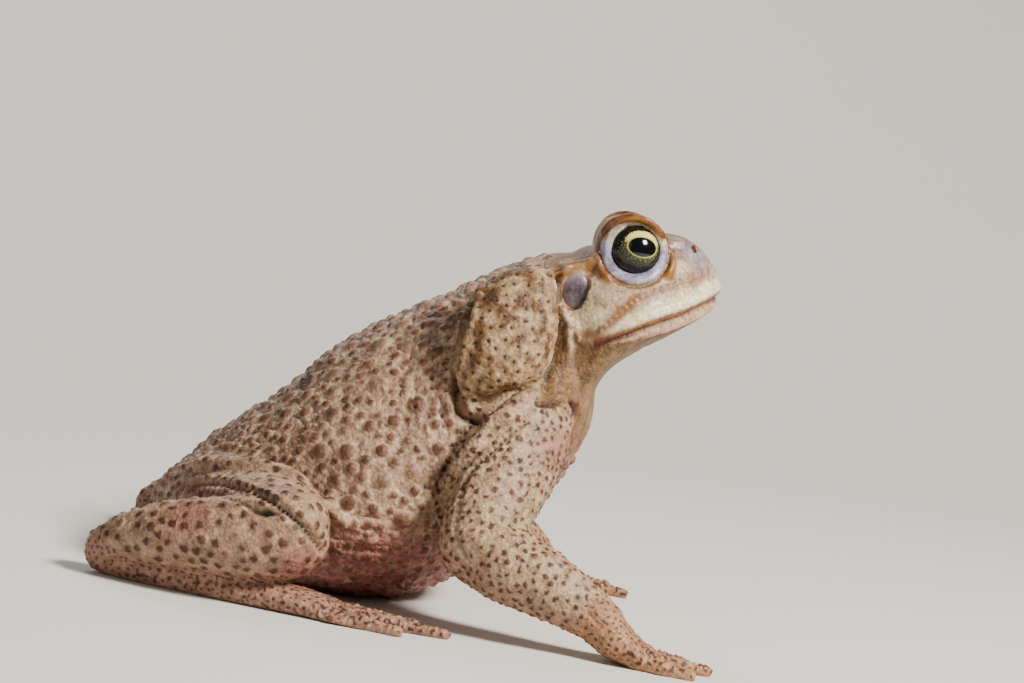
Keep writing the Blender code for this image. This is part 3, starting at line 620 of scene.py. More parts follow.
def cad_warts():
    """The large warts of the solids: six-sided cones, found by their regular tips."""
    found = []
    for name in LARGE_WARTS:
        shape = bmesh.new()
        shape.from_mesh(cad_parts[name].data)
        bmesh.ops.remove_doubles(shape, verts=shape.verts, dist=1e-7)
        for vertex in shape.verts:
            if len(vertex.link_edges) != 6:
                continue
            rim = [edge.other_vert(vertex).co for edge in vertex.link_edges]
            middle = sum(rim, Vector()) / 6
            reach = [(corner - middle).length for corner in rim]
            if max(reach) - min(reach) > 0.02 * max(reach):
                continue
            along = vertex.co - middle
            radius = sum(reach) / 6 / 0.62
            if not 0.10 * radius < along.length < 0.2 * radius:
                continue
            base = vertex.co - along.normalized() * radius * 0.5 - FRAME_SHIFT
            found.append((np.array(base / MM), radius / MM))
        shape.free()
    return found


def flank_line(points, steps=6):
    """A line given as x and z in side view, laid on the right flank, and its mirror image."""
    right = []
    for x, z in smooth_rows(points, steps):
        hit = guide_tree.ray_cast(Vector((x, -90.0, z)) * MM, Vector((0, 1, 0)))[0]
        if hit is not None:
            right.append(np.array(hit / MM))
    return to_both(right)


CREASES = [
    # x and z in side view, half width, depth
    ([(10.9, 64.2), (11.7, 52.2), (12.9, 39.0)], 0.55, 0.75),
    ([(8.2, 61.8), (8.9, 49.7), (10.4, 38.6)], 0.45, 0.6),
    ([(5.4, 58.8), (6.0, 47.2), (7.9, 36.2)], 0.45, 0.5),
    ([(2.0, 56.6), (2.9, 47.0), (5.2, 37.0)], 0.4, 0.35),
    ([(-2.0, 52.6), (-0.6, 44.0), (2.2, 36.0)], 0.4, 0.25),
    ([(17.0, 41.8), (16.1, 34.6), (12.7, 23.8)], 0.6, 0.7),
    ([(14.0, 38.0), (12.6, 30.0), (8.6, 20.0)], 0.5, 0.5),
    ([(-37.0, 18.1), (-31.5, 20.4), (-24.7, 21.8), (-17.6, 21.4), (-11.8, 18.9),
      (-7.2, 14.6), (-4.6, 9.5)], 0.7, 1.25),
    ([(-40.8, 15.5), (-35.2, 18.0), (-28.6, 19.8), (-22.7, 20.0), (-18.8, 19.0),
      (-14.9, 19.6)], 0.5, 0.8),
    ([(-20.4, 19.2), (-17.6, 19.2), (-14.4, 19.9)], 0.8, 1.0),
    ([(-37.1, 27.8), (-29.4, 30.6), (-21.1, 30.3)], 0.5, 0.55),
    ([(-38.4, 25.9), (-31.0, 27.9), (-22.4, 28.0)], 0.5, 0.5),
    ([(-5.5, 12.3), (4.6, 12.5), (17.2, 15.4)], 0.5, 0.55),
    ([(-2.0, 9.4), (7.0, 10.0), (16.7, 12.3)], 0.5, 0.55),
    ([(1.5, 6.3), (9.4, 7.1), (15.2, 9.1)], 0.5, 0.55),
    ([(-4.0, 15.6), (4.1, 15.6), (17.7, 19.2)], 0.5, 0.45),
    ([(30.8, 74.0), (31.4, 70.4), (32.0, 66.4), (32.7, 60.3), (33.0, 54.4), (31.2, 48.4)],
     1.1, 2.0),
    ([(15.7, 69.3), (14.5, 61.6), (14.0, 54.4), (14.1, 47.3), (15.5, 42.2)], 1.0, 2.2),
    ([(14.9, 43.1), (17.4, 41.2), (20.6, 41.4), (24.8, 43.4), (29.2, 46.2), (32.0, 49.6)],
     0.95, 1.9),
    ([(32.2, 48.0), (28.2, 41.9), (23.1, 36.0), (19.2, 29.7), (18.9, 21.1)], 0.55, 0.9),
    ([(27.4, 46.8), (22.3, 40.9), (18.0, 36.2), (16.5, 28.9)], 0.45, 0.6),
    ([(28.9, 46.6), (31.7, 46.2), (35.0, 47.0), (38.2, 46.3), (39.6, 43.8)], 0.7, 1.5),
    ([(30.5, 43.7), (31.9, 37.2), (32.2, 29.1), (31.1, 24.4)], 0.5, 0.45),
    ([(46.3, 10.2), (48.0, 8.7), (49.5, 7.5)], 0.4, 0.35),
    ([(18.7, 20.3), (20.6, 17.4), (22.6, 15.0)], 0.5, 0.4),
]
# Warts by part of the body: least and greatest radius of the middling ones, their height
# over radius and spacing, and the radius, height and spacing of the small ones between.
WART_KINDS = {
    "trunk": ((0.80, 1.30, 0.56, 1.14), (0.46, 0.32, 1.20)),
    "belly": ((0.70, 1.05, 0.30, 1.06), (0.50, 0.22, 1.00)),
    "arm": ((0.50, 0.68, 0.34, 1.30), (0.34, 0.14, 1.25)),
    "leg": ((0.66, 0.94, 0.38, 1.46), (0.42, 0.16, 1.30)),
    "hand": ((0.40, 0.52, 0.26, 1.60), (0.34, 0.12, 1.30)),
    "head": ((0.34, 0.50, 0.14, 2.70), (0.28, 0.08, 2.60)),
    "gland": ((0.90, 1.30, 0.12, 1.10), (0.60, 0.10, 1.10)),
}
LARGE_SHARE = 0.80       # the large warts' radius over that of the solids' coarser ones
LARGE_RISE = 0.56
BACK_RISE = 0.65         # warts along the back are flatter than those on the flanks


class Grid:
    """Centres kept in cubes, so that near ones are found fast."""

    def __init__(self, size):
        self.size = size
        self.cells = {}

    def key(self, point):
        return tuple(int(math.floor(v / self.size)) for v in point)

    def near(self, point):
        a, b, c = self.key(point)
        for i in (a - 1, a, a + 1):
            for j in (b - 1, b, b + 1):
                for k in (c - 1, c, c + 1):
                    yield from self.cells.get((i, j, k), ())

    def add(self, point, radius):
        self.cells.setdefault(self.key(point), []).append((point, radius))


def spread_warts(points, zone, large, draws):
    """Small and middling warts over the whole skin, clear of the large ones."""
    draw = random.Random(SEED)
    grid = Grid(5.4)
    kinds = list(WART_KINDS)
    shares = np.stack([zone[kind] for kind in kinds], axis=1)
    kind_of = shares.argmax(axis=1)
    made = []
    for centre, radius in large:
        radius *= LARGE_SHARE
        grid.add(tuple(centre), radius)
        made.append((centre, radius, LARGE_RISE, "trunk"))
    eye = np.array(EYE_CENTRE)
    for turn in range(draws):
        index = draw.randrange(len(points))
        centre = points[index]
        kind = kinds[kind_of[index]] if zone["throat"][index] < 0.3 else "head"
        middling, small = WART_KINDS[kind]
        if turn < draws // 3:
            least, most, rise, gap = middling
            radius = draw.uniform(least, most)
        else:
            radius, rise, gap = small
        if centre[2] < 0.8 or creased[index] < radius * 0.8:
            continue
        if np.linalg.norm(centre * (1, -1 if centre[1] > 0 else 1, 1) - eye) < 8.6:
            continue
        clear = True
        for other, size in grid.near(centre):
            spread = gap * (radius + size)
            if sum((a - b) ** 2 for a, b in zip(centre, other)) < spread * spread:
                clear = False
                break
        if clear:
            grid.add(tuple(centre), radius)
            made.append((centre, radius, rise, kind))
    return made


points, normals = read_points(skin)
zone = zones(points, normals)
vertex_tree = point_tree(points)


def pressed(lines, reach):
    """Each point's distance from the nearest of some lines, and how far along it lies."""
    away = np.full(len(points), 99.0)
    along = np.zeros(len(points))
    for line in lines:
        for k, sample in enumerate(line):
            share = (k + 0.5) / len(line)
            for _, index, distance in vertex_tree.find_range(sample, reach):
                if distance < away[index]:
                    away[index] = distance
                    along[index] = share
    return away, along


CREASE_REACH = 3.0
WART_DRAWS = 110000
pressed_in = [pressed(flank_line(line), CREASE_REACH) for line, _, _ in CREASES]
creased = np.full(len(points), 99.0)
for (away, _), (_, width, _) in zip(pressed_in, CREASES):
    creased = np.minimum(creased, away - width * 0.5)
warts = spread_warts(points, zone, cad_warts(), WART_DRAWS)
BEADS = [
    [(41.6, -22.0, 62.4), (44.6, -22.2, 66.8), (48.4, -20.6, 70.0), (53.0, -17.6, 72.6),
     (57.4, -13.6, 74.8), (60.6, -9.0, 77.0)],
    [(36.8, -18.2, 76.6), (36.6, -17.6, 79.6), (37.2, -16.6, 82.6), (38.8, -15.6, 85.0)],
]
BEAD_RADII = (0.58, 0.85)
BEAD_RISE = 0.5          # height over radius
for line, radius in zip(BEADS, BEAD_RADII):
    run = snapped(line, 0.0, 12)
    last = None
    for point in run:
        if last is None or math.dist(point, last) > radius * 2.05:
            last = point
            for side in (1, -1):
                warts.append((np.array(point) * (1, side, 1), radius, BEAD_RISE, "bead"))

rise = np.zeros(len(points))
first = np.full(len(points), 9.0)
second = np.full(len(points), 9.0)
for centre, radius, height, _ in warts:
    found = vertex_tree.find_range(centre, radius + 1.5)
    if not found:
        continue
    index = np.array([f[1] for f in found])
    away = np.array([f[2] for f in found])
    t = np.clip(away / (radius * 1.08), 0.0, 1.0)
    dome = radius * height * ((1 - t * t) ** 0.95 + 0.10 * np.exp(-(t / 0.3) ** 2))
    rise[index] = np.maximum(rise[index], dome)
    rim = away - radius
    nearer = rim < first[index]
    second[index] = np.where(nearer, first[index], np.minimum(second[index], rim))
    first[index] = np.where(nearer, rim, first[index])

JAW_EDGE = [
    (47.4, -21.0, 70.0), (44.9, -21.9, 66.0), (42.8, -22.2, 63.2), (40.0, -22.3, 61.4),
    (36.8, -22.2, 60.8),
]
SPINES = [
    # line, half width, height
    (EYE_FRONT_CREST, 0.9, 0.45), (CANTHAL_CREST, 0.8, 0.25), (EAR_CREST, 1.05, 0.55),
    (LIP, 1.35, 0.50), (CHIN, 0.85, 0.35), (ARM_FOLD, 1.3, 0.75), (FLANK_FOLD, 1.3, 0.65),
    (EAR_FLAP, 0.42, 0.55), (EAR_FLAP_BACK, 0.40, 0.50),
]


def both_sides(line):
    return to_both([np.array(p) for p in snapped(line, 0.0, 10)])


netted = np.exp(-((second - first) / 0.34) ** 2) * (second < 8.0)
net_depth = (0.17 * zone["trunk"] + 0.13 * zone["arm"] + 0.11 * zone["leg"]
             + 0.08 * zone["hand"] + 0.06 * zone["gland"] + 0.02 * zone["head"])
on_back = step(0.35, 0.8, normals[:, 2]) * zone["trunk"]
move = rise * (1 - (1 - BACK_RISE) * on_back) - netted * net_depth


def wrinkles(points, zone):
    """Fine folds of loose skin, upright behind the shoulder and level along the belly."""
    x, y, z = points.T
    upright = step(-16.0, -4.0, x) * step(22.0, 32.0, z)
    made = np.zeros(len(points))
    for share, scale in ((upright, (0.34, 0.08, 0.05)), (1 - upright, (0.05, 0.10, 0.34))):
        amount = share * (zone["trunk"] + 0.35 * zone["throat"])
        for index in np.flatnonzero(amount > 0.05):
            value = soft_noise.noise(Vector(points[index] * scale))
            made[index] = max(made[index], amount[index] * math.exp(-(value / 0.07) ** 2))
    return made


folded = wrinkles(points, zone)
move -= 0.36 * folded * (1 - 0.75 * np.clip(rise / 0.35, 0.0, 1.0))
for line, width, height in SPINES:
    away, along = pressed(both_sides(line), width * 4)
    taper = np.sin(np.pi * np.clip(along, 0.0, 1.0)) ** 0.4
    spine = np.exp(-(away / width) ** 2) * taper
    foot = np.exp(-((away - 2.1 * width) / (0.7 * width)) ** 2) * taper
    move = move * (1 - 0.6 * spine) + height * spine - 0.45 * height * foot
# Painted shade along the creases: each crease's bottom is painted dark, the deeper creases
# darker, as shade falls in them.
crease_shade = np.zeros(len(points))
for (away, along), (_, width, depth) in zip(pressed_in, CREASES):
    taper = np.sin(np.pi * np.clip(along, 0.0, 1.0)) ** 0.35
    shade = min(1.0, 0.4 + 0.5 * depth) * taper
    crease_shade = np.maximum(crease_shade, shade * np.exp(-(away / (width * 0.9)) ** 2))
    groove = np.exp(-(away / width) ** 2) * taper
    bank = np.exp(-((away - 2.2 * width) / (0.9 * width)) ** 2) * taper
    move = move * (1 - 0.8 * groove) - depth * groove + 0.35 * depth * bank

# Pores of the gland: each a small pit, crowded where the gland is fullest.
draw = random.Random(SEED + 1)
pore_grid = Grid(2.4)
pores = []
on_gland = np.flatnonzero((zone["gland"] > 0.9) & (np.abs(points[:, 1]) > 15.0))
for _ in range(6000):
    centre = points[on_gland[draw.randrange(len(on_gland))]]
    if all(math.dist(centre, other) > 2.0 for other, _ in pore_grid.near(centre)):
        pore_grid.add(tuple(centre), 0.4)
        pores.append(centre)
for centre in pores:
    size = draw.uniform(0.34, 0.52)
    for _, index, distance in vertex_tree.find_range(centre, 1.4):
        move[index] -= 0.34 * math.exp(-(distance / size) ** 2)
        move[index] += 0.20 * math.exp(-((distance - 0.85) / 0.38) ** 2)

# Rings of skin across the fingers and toes, and a slow unevenness of the whole hide.
for side, (_, _, _, fingers) in ARMS.items():
    digits = [(digit, FINGER_THICK) for digit in fingers] + [(d, TOE_THICK) for d in TOES]
    flipped = points * (1, -side, 1)
    half = points[:, 1] * side > 0
    for digit, thick in digits:
        line = smooth_rows(digit_rows(digit, thick), 8)
        root = line[0][:3]
        away = np.linalg.norm(line[-1][:3] - root)
        axis = (line[-1][:3] - root) / away
        along = (flipped - root) @ axis
        near = (nearness(flipped, digit_rows(digit, thick)) < 1.5) & half
        near &= (along > 0.5) & (along < away - 0.4)
        move[near] += 0.15 * np.cos(2 * math.pi * along[near] / 1.25)

uneven = np.array([soft_noise.fractal(Vector(p) * 0.16, 1.0, 2.0, 3) for p in points])
move += 0.30 * uneven * (1 - 0.75 * zone["head"]) * (1 - 0.8 * zone["hand"])

eye_even = to_right(points)
round_eye = np.linalg.norm(eye_even - np.array(EYE_CENTRE), axis=1)
quiet = step(7.2, 8.1, round_eye)
ear_away = np.linalg.norm((eye_even - np.array(ear_at)) / (3.0, 3.0, 3.7), axis=1)
quiet = np.minimum(quiet, step(1.1, 1.5, ear_away))
brow_away = pressed(to_both(list(smooth_rows(BROW_CREST, 6))), 3.0)[0]
quiet = np.minimum(quiet, step(1.4, 2.6, brow_away))
floor_fade = step(0.0, 1.0, points[:, 2])
move *= quiet * floor_fade
eye_out = (eye_even - np.array(EYE_CENTRE)) @ np.array(EYE_AXIS)
eye_side = np.sqrt(np.maximum(0.0, round_eye ** 2 - eye_out ** 2))
under = step(2.0, -1.5, eye_even[:, 2] - EYE_CENTRE.z)
lid_edge = np.exp(-((eye_side - 7.25) / 0.42) ** 2) * (eye_out > -3.0)
move -= lid_edge * (0.25 + 0.45 * under)
moved = points + normals * move[:, None]
moved[:, 2] = np.maximum(moved[:, 2], 0.0)
for k, (centre, radius, height, kind) in enumerate(warts):
    index = vertex_tree.find(centre)[1]
    warts[k] = (moved[index], radius, height, kind)
pores = [moved[vertex_tree.find(centre)[1]] for centre in pores]
# The creases' painted shade and the wrinkles are kept on the skin's points.
for name, amounts in (("crease_shade", crease_shade), ("folded", folded)):
    layer = skin.data.attributes.new(name, "FLOAT", "POINT")
    layer.data.foreach_set("value", amounts.astype(np.float32))
skin.data.vertices.foreach_set("co", (moved * MM).astype(np.float32).ravel())
skin.data.update()
apply_modifier(skin, "TRIANGULATE")
SKIN_TRIANGLES = 196000
body = skin.vertex_groups.new(name="body")
on_face = (moved[:, 0] > 33.0) & (moved[:, 2] > 60.0)
body.add(np.flatnonzero(~on_face).tolist(), 1.0, "REPLACE")
apply_modifier(
    skin, "DECIMATE", ratio=min(1.0, SKIN_TRIANGLES / len(skin.data.polygons)),
    vertex_group="body", vertex_group_factor=1.0,
)
skin.vertex_groups.clear()
for vertex in skin.data.vertices:
    if vertex.co.z < 0.03 * MM:
        vertex.co.z = 0.0
bpy.ops.object.shade_smooth()

# Colour marks on the skin: cones of horn on the wart tips, painted shade in the creases, the
# mouth's slit, the nostrils, the net between the warts and under the head, and the areas of
# pink, cream, amber and brown, as amounts from 0 to 1 that the skin's paint reads.
points, normals = read_points(skin)
zone = zones(points, normals)
x, y, z = points.T
even = to_right(points)
vertex_tree = point_tree(points)
tip = np.zeros(len(points))
dome = np.zeros(len(points))
ring = np.zeros(len(points))
first = np.full(len(points), 9.0)
second = np.full(len(points), 9.0)
draw = random.Random(SEED + 2)
for centre, radius, _, kind in warts:
    found = vertex_tree.find_range(centre, radius + 1.6)
    if not found:
        continue
    index = np.array([f[1] for f in found])
    away = np.array([f[2] for f in found])
    on_limb = kind in ("arm", "leg", "hand")
    strength = draw.uniform(0.8, 1.0) if on_limb else draw.uniform(0.45, 1.0)
    strength *= {"bead": 0.0, "belly": 0.4, "gland": 0.0, "head": 0.5}.get(kind, 1.0)
    if radius < 0.49 and kind != "hand":
        strength *= 0.5
    if on_limb:
        t = away / (radius + {"arm": 0.16, "leg": 0.2}.get(kind, 0.1))
        spot = np.clip(2.2 * (1.3 - t), 0.0, 1.0)
        tip[index] = np.maximum(tip[index], strength * spot)
    else:
        brown = np.clip(2.1 - 1.7 * away / (radius + 0.1), 0.0, 1.0)
        dome[index] = np.maximum(dome[index], strength * brown)
        t = away / (radius * 0.34 + 0.25)
        horn = strength * draw.uniform(0.0, 1.0) * np.clip(1.5 - t, 0.0, 1.0)
        tip[index] = np.maximum(tip[index], horn)
    band = np.exp(-((away - radius * 1.25) / (0.3 * radius + 0.12)) ** 2)
    pale = {"trunk": 0.85, "arm": 0.7, "leg": 0.35, "hand": 0.3}.get(kind, 0.0)
    ring[index] = np.maximum(ring[index], pale * strength * band)
    rim = away - radius
    nearer = rim < first[index]
    second[index] = np.where(nearer, first[index], np.minimum(second[index], rim))
    first[index] = np.where(nearer, rim, first[index])
# Painted shade in the net of creases between the warts and along the fine wrinkles, where shade
# falls between them.
crevice_shade = 0.6 * np.exp(-((second - first) / 0.3) ** 2) * (second < 8.0)
folded = np.empty(len(points), np.float32)
skin.data.attributes["folded"].data.foreach_get("value", folded)
crevice_shade = np.maximum(crevice_shade, 0.8 * folded * (1 - dome))
pore = np.zeros(len(points))
halo = np.zeros(len(points))
for centre in pores:
    for _, index, distance in vertex_tree.find_range(centre, 1.6):
        pore[index] = max(pore[index], math.exp(-(distance / 0.42) ** 2))
        halo[index] = max(halo[index], math.exp(-(distance / 1.0) ** 2))

eye_out = (even - np.array(EYE_CENTRE)) @ np.array(EYE_AXIS)
eye_side = np.linalg.norm(
    (even - np.array(EYE_CENTRE)) - eye_out[:, None] * np.array(EYE_AXIS), axis=1
)
lid_zone = (eye_out > 0.0) * (1 - step(6.6, 7.2, eye_side))
lid_edge = np.exp(-((eye_side - 7.3) / 0.5) ** 2) * (eye_out > -3.0)
upper_lid = lid_zone * step(-1.0, 3.0, z - EYE_CENTRE.z)


def along_line(line, reach):
    """How near each point is to a line on the skin, from 0 to 1."""
    made = np.zeros(len(points))
    for point in smooth_rows(line, 8) if line is BROW_CREST else snapped(line, 0.0, 8):
        for side in (1, -1):
            centre = np.array(point) * (1, side, 1)
            for _, index, distance in vertex_tree.find_range(centre, reach * 1.3):
                made[index] = max(made[index], 1.3 - distance / reach)
    return np.clip(made, 0.0, 1.0)


brow = np.clip(1.6 * along_line(BROW_CREST, 1.75), 0.0, 1.0)
lid_zone *= 1 - brow
upper_lid *= 1 - brow
crest = np.maximum(brow, along_line(EYE_FRONT_CREST, 1.7))
crest = np.maximum(crest, 0.7 * along_line(CANTHAL_CREST, 1.5))
crest = np.maximum(crest, 0.9 * along_line(EAR_CREST, 2.2))
crest = np.maximum(crest, 0.62 * along_line(JAW_EDGE, 1.7))
crown = zone["head"] * step(0.35, 0.8, normals[:, 2]) * (1 - step(54.0, 60.0, x))
lips = along_line(LIP, 2.5)
lip_edge = along_line([(px, py, pz + 0.7) for px, py, pz in MOUTH], 1.8)
# Painted shade in the mouth's slit: a dark line along it.
mouth = along_line(MOUTH, 1.1)
chin = along_line(CHIN[:-1], 1.5)
beads = along_line(BEADS[0], 1.9)
brow_beads = along_line(BEADS[1], 2.6)
cheek = zone["head"] * (1 - zone["throat"]) * (1 - crown)
flap = np.maximum(along_line(EAR_FLAP, 0.7), along_line(EAR_FLAP_BACK, 0.65))
nostril_away = np.linalg.norm(even - np.array(snapped([NOSTRIL], 0.0)[0]), axis=1)
pink = np.clip(
    zone["belly"]
    + 0.75 * np.exp(-(np.hypot(x + 33.3, z - 16.4) / 6.0) ** 2) * zone["leg"]
    + 0.85 * np.exp(-(np.hypot(x + 9.2, z - 9.0) / 6.5) ** 2) * zone["leg"]
    + 0.55 * zone["arm"] * step(-0.2, 0.6, -normals[:, 2])
    + 0.7 * np.exp(-(np.hypot(x - 37.0, z - 38.0) / 7.0) ** 2) * zone["arm"],
    0.0, 1.0,
)
# Painted shade in each nostril's pit, with the real dark patches on the flanks added below.
dark_patches_and_nostril_shade = np.exp(-((nostril_away - 0.2) / 0.9) ** 2)
for spot, reach, share in (
    ((-16.5, 42.7), 4.0, 1.0), ((7.2, 59.6), 3.5, 0.8), ((-30.0, 25.0), 5.0, 0.55),
):
    middle = flank_line([spot, spot], 1)[0][0]
    away = np.linalg.norm(even - middle, axis=1)
    dark_patches_and_nostril_shade = np.clip(dark_patches_and_nostril_shade + share * np.exp(-(away / reach) ** 2), 0.0, 1.0)
snout = np.exp(-(nostril_away / 6.2) ** 2)
patch = np.exp(-(np.hypot(x - 39.2, z - 64.6) / 3.2) ** 2) * zone["head"]
blotch = np.zeros(len(points))
for index in np.flatnonzero(zone["gland"] > 0.02):
    value = soft_noise.fractal(Vector(points[index] * (0.36, 0.36, 0.30)), 0.8, 2.0, 4)
    value += 0.018 * (z[index] - 57.0) - 0.016 * (x[index] - 23.0)
    blotch[index] = zone["gland"][index] * min(1.0, max(0.95 * halo[index], 0.5 + 1.1 * value))
# The crease round each eye's lids gets the same painted shade.
crevice_shade = np.maximum(crevice_shade, lid_edge)
marks = {
    "snout": snout, "lip_edge": np.maximum(lip_edge, 0.55 * beads), "chin": chin,
    "cheek": cheek, "throat": zone["throat"], "crown": crown, "pink": pink,
    "arm": zone["arm"], "leg": zone["leg"], "gland": zone["gland"], "blotch": blotch,
    "foot": zone["foot"], "ring": ring, "patch": patch,
    "hand": zone["hand"], "lip": np.maximum(lips, flap),
    "crest": np.maximum(crest, brow_beads), "lid": lid_zone, "upper_lid": upper_lid,
    "dome": dome, "tip": tip, "crevice_shade": crevice_shade, "pore": pore,
    "mouth": mouth, "dark_patches_and_nostril_shade": dark_patches_and_nostril_shade,
    "gloss": np.clip(crest + 0.7 * lips + 0.8 * lid_zone + 0.45 * cheek + 0.3 * dome, 0.0, 1.0),
}
for name, amounts in marks.items():
    layer = skin.data.attributes.new(name, "FLOAT", "POINT")
    layer.data.foreach_set("value", np.clip(amounts, 0.0, 1.0).astype(np.float32))


# Toad skin: living, dry, keratinised skin. Tan with brown horn on the wart tips, with painted
# shade in its creases and slits and under the head, mottled by pigment cells, and slightly
# moist and glossy on the head.
def linear(code):
    """A colour's linear values, from its sRGB hex code."""
    made = []
    for k in (1, 3, 5):
        value = int(code[k:k + 2], 16) / 255
        made.append(value / 12.92 if value <= 0.04045 else ((value + 0.055) / 1.055) ** 2.4)
    return (*made, 1.0)


def add(tree, kind, inputs, **settings):
    """A node with its settings, and its inputs set to values or linked to sockets."""
    made = tree.nodes.new(kind)
    for key, value in settings.items():
        setattr(made, key, value)
    for key, value in inputs.items():
        if isinstance(value, bpy.types.NodeSocket):
            tree.links.new(value, made.inputs[key])
        else:
            made.inputs[key].default_value = value
    return made


def new_material(name):
    material = bpy.data.materials.new(name)
    material.use_nodes = True
    return material, material.node_tree, material.node_tree.nodes["Principled BSDF"]


SKIN_LAYERS = [
    # mark, two tones of its mottling, low and high end of its edge, how ragged the edge is
    ("arm", "#967657", "#c8ab88", 0.25, 0.75, 0.5),
    ("leg", "#8a6a51", "#b59376", 0.25, 0.75, 0.5),
    ("crown", "#6e4a2c", "#9a7248", 0.3, 0.8, 0.6),
    ("cheek", "#967a60", "#cab092", 0.25, 0.75, 0.6),
    # the throat's yellow-brown, painted darker as shade under the jaw and gland
    ("throat", "#684a2a", "#927046", 0.25, 0.75, 0.4),
    ("pink", "#87483e", "#b07468", 0.25, 0.9, 0.7),
    ("gland", "#8f6f4a", "#c0a37b", 0.3, 0.7, 0.3),
    ("blotch", "#40260f", "#6e4826", 0.30, 1.00, 0.6),
    ("hand", "#9a6c48", "#bf9068", 0.45, 0.9, 0.5),
    ("foot", "#8c6250", "#b48a74", 0.3, 0.8, 0.5),
    ("ring", "#bc9c78", "#dcc4a2", 0.35, 1.35, 0.5),
    ("snout", "#7a6c72", "#a0949a", 0.2, 0.75, 0.5),
    ("patch", "#d0b588", "#eedcb4", 0.3, 0.9, 0.5),
    ("lip", "#d8bf92", "#f8eccd", 0.3, 0.7, 0.3),
    ("chin", "#a87c66", "#caa488", 0.35, 0.8, 0.3),
    ("lip_edge", "#6e3c16", "#9c6430", 0.3, 0.85, 0.5),
    ("crest", "#5c340f", "#966024", 0.3, 0.75, 0.5),
    ("lid", "#7c748a", "#aca6b6", 0.3, 0.7, 0.2),
    ("upper_lid", "#8f8468", "#bdb498", 0.3, 0.7, 0.3),
    ("dome", "#523223", "#7d543d", 0.08, 0.66, 0.3),
    # painted shade in the nostrils, and the flanks' real dark patches
    ("dark_patches_and_nostril_shade", "#301c14", "#50321f", 0.35, 0.75, 0.9),
    # painted shade in the net of creases between the warts
    ("crevice_shade", "#4c3222", "#684834", 0.25, 1.2, 0.3),
    ("tip", "#3a1f13", "#5e3722", 0.25, 0.75, 0.3),
    ("pore", "#22140c", "#34221a", 0.35, 0.75, 0.2),
    # painted shade at the bottom of the creases
    ("crease_shade", "#150b06", "#2c1910", 0.15, 0.80, 0.3),
    # painted shade in the mouth's slit
    ("mouth", "#35140e", "#552418", 0.35, 0.95, 0.1),
]
material, tree, shader = new_material("toad_skin_keratin")
place = add(tree, "ShaderNodeTexCoord", {}).outputs["Object"]
broad = add(tree, "ShaderNodeTexNoise", {
    "Vector": place, "Scale": 1 / 0.009, "Detail": 3.0, "Roughness": 0.6,
}).outputs["Fac"]
middle = add(tree, "ShaderNodeTexNoise", {
    "Vector": place, "Scale": 1 / 0.0028, "Detail": 4.0, "Roughness": 0.65,
}).outputs["Fac"]
fine = add(tree, "ShaderNodeTexNoise", {
    "Vector": place, "Scale": 1 / 0.0007, "Detail": 3.0, "Roughness": 0.7,
}).outputs["Fac"]
mottle = add(tree, "ShaderNodeMapRange", {
    "Value": middle, "From Min": 0.38, "From Max": 0.64,
}).outputs["Result"]
ragged = add(tree, "ShaderNodeMath", {0: middle, 1: 0.5}, operation="SUBTRACT").outputs[0]
colour = add(tree, "ShaderNodeMix", {
    0: mottle, 6: linear("#94725a"), 7: linear("#c6a686"),
}, data_type="RGBA").outputs[2]
olive = add(tree, "ShaderNodeMapRange", {
    "Value": broad, "From Min": 0.48, "From Max": 0.66,
}).outputs["Result"]
colour = add(tree, "ShaderNodeMix", {
    0: olive, 6: colour, 7: linear("#795a44"),
}, data_type="RGBA").outputs[2]
for mark, deep, pale, low, high, spread in SKIN_LAYERS:
    amount = add(tree, "ShaderNodeAttribute", {}, attribute_name=mark).outputs["Fac"]
    shaken = add(tree, "ShaderNodeMath", {
        0: ragged, 1: spread, 2: amount,
    }, operation="MULTIPLY_ADD").outputs[0]
    edge = add(tree, "ShaderNodeMapRange", {
        "Value": shaken, "From Min": low, "From Max": high,
    }).outputs["Result"]
    tone = add(tree, "ShaderNodeMix", {
        0: mottle, 6: linear(deep), 7: linear(pale),
    }, data_type="RGBA").outputs[2]
    colour = add(tree, "ShaderNodeMix", {
        0: edge, 6: colour, 7: tone,
    }, data_type="RGBA").outputs[2]
speckle = add(tree, "ShaderNodeMapRange", {
    "Value": fine, "From Min": 0.35, "From Max": 0.7, "To Min": 0.82, "To Max": 1.12,
}).outputs["Result"]
colour = add(tree, "ShaderNodeVectorMath", {
    0: colour, "Scale": speckle,
}, operation="SCALE").outputs[0]
tree.links.new(colour, shader.inputs["Base Color"])
gloss = add(tree, "ShaderNodeAttribute", {}, attribute_name="gloss").outputs["Fac"]
worn = add(tree, "ShaderNodeMath", {0: middle, 1: 0.25, 2: 0.43}, operation="MULTIPLY_ADD")
sheen = add(tree, "ShaderNodeMath", {
    0: gloss, 1: -0.22, 2: worn.outputs[0],
}, operation="MULTIPLY_ADD").outputs[0]
tree.links.new(sheen, shader.inputs["Roughness"])
cells = add(tree, "ShaderNodeTexVoronoi", {
    "Vector": place, "Scale": 1 / 0.0008, "Randomness": 1.0,
}, feature="F1").outputs["Distance"]
grain = add(tree, "ShaderNodeMath", {
    0: fine, 1: 0.5, 2: cells,
}, operation="MULTIPLY_ADD").outputs[0]
smoothed = add(tree, "ShaderNodeMath", {
    0: gloss, 1: -0.8, 2: 1.0,
}, operation="MULTIPLY_ADD").outputs[0]
bump = add(tree, "ShaderNodeBump", {
    "Height": grain, "Distance": 0.00018, "Strength": smoothed,
}, invert=True)
tree.links.new(bump.outputs["Normal"], shader.inputs["Normal"])
shader.inputs["IOR"].default_value = 1.42
shader.inputs["Subsurface Weight"].default_value = 0.06
shader.inputs["Subsurface Radius"].default_value = (1.0, 0.45, 0.25)
shader.inputs["Subsurface Scale"].default_value = 0.0015
skin.data.materials.clear()
skin.data.materials.append(material)
skin.data.transform(Matrix.Translation(FRAME_SHIFT))
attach(skin, "root")
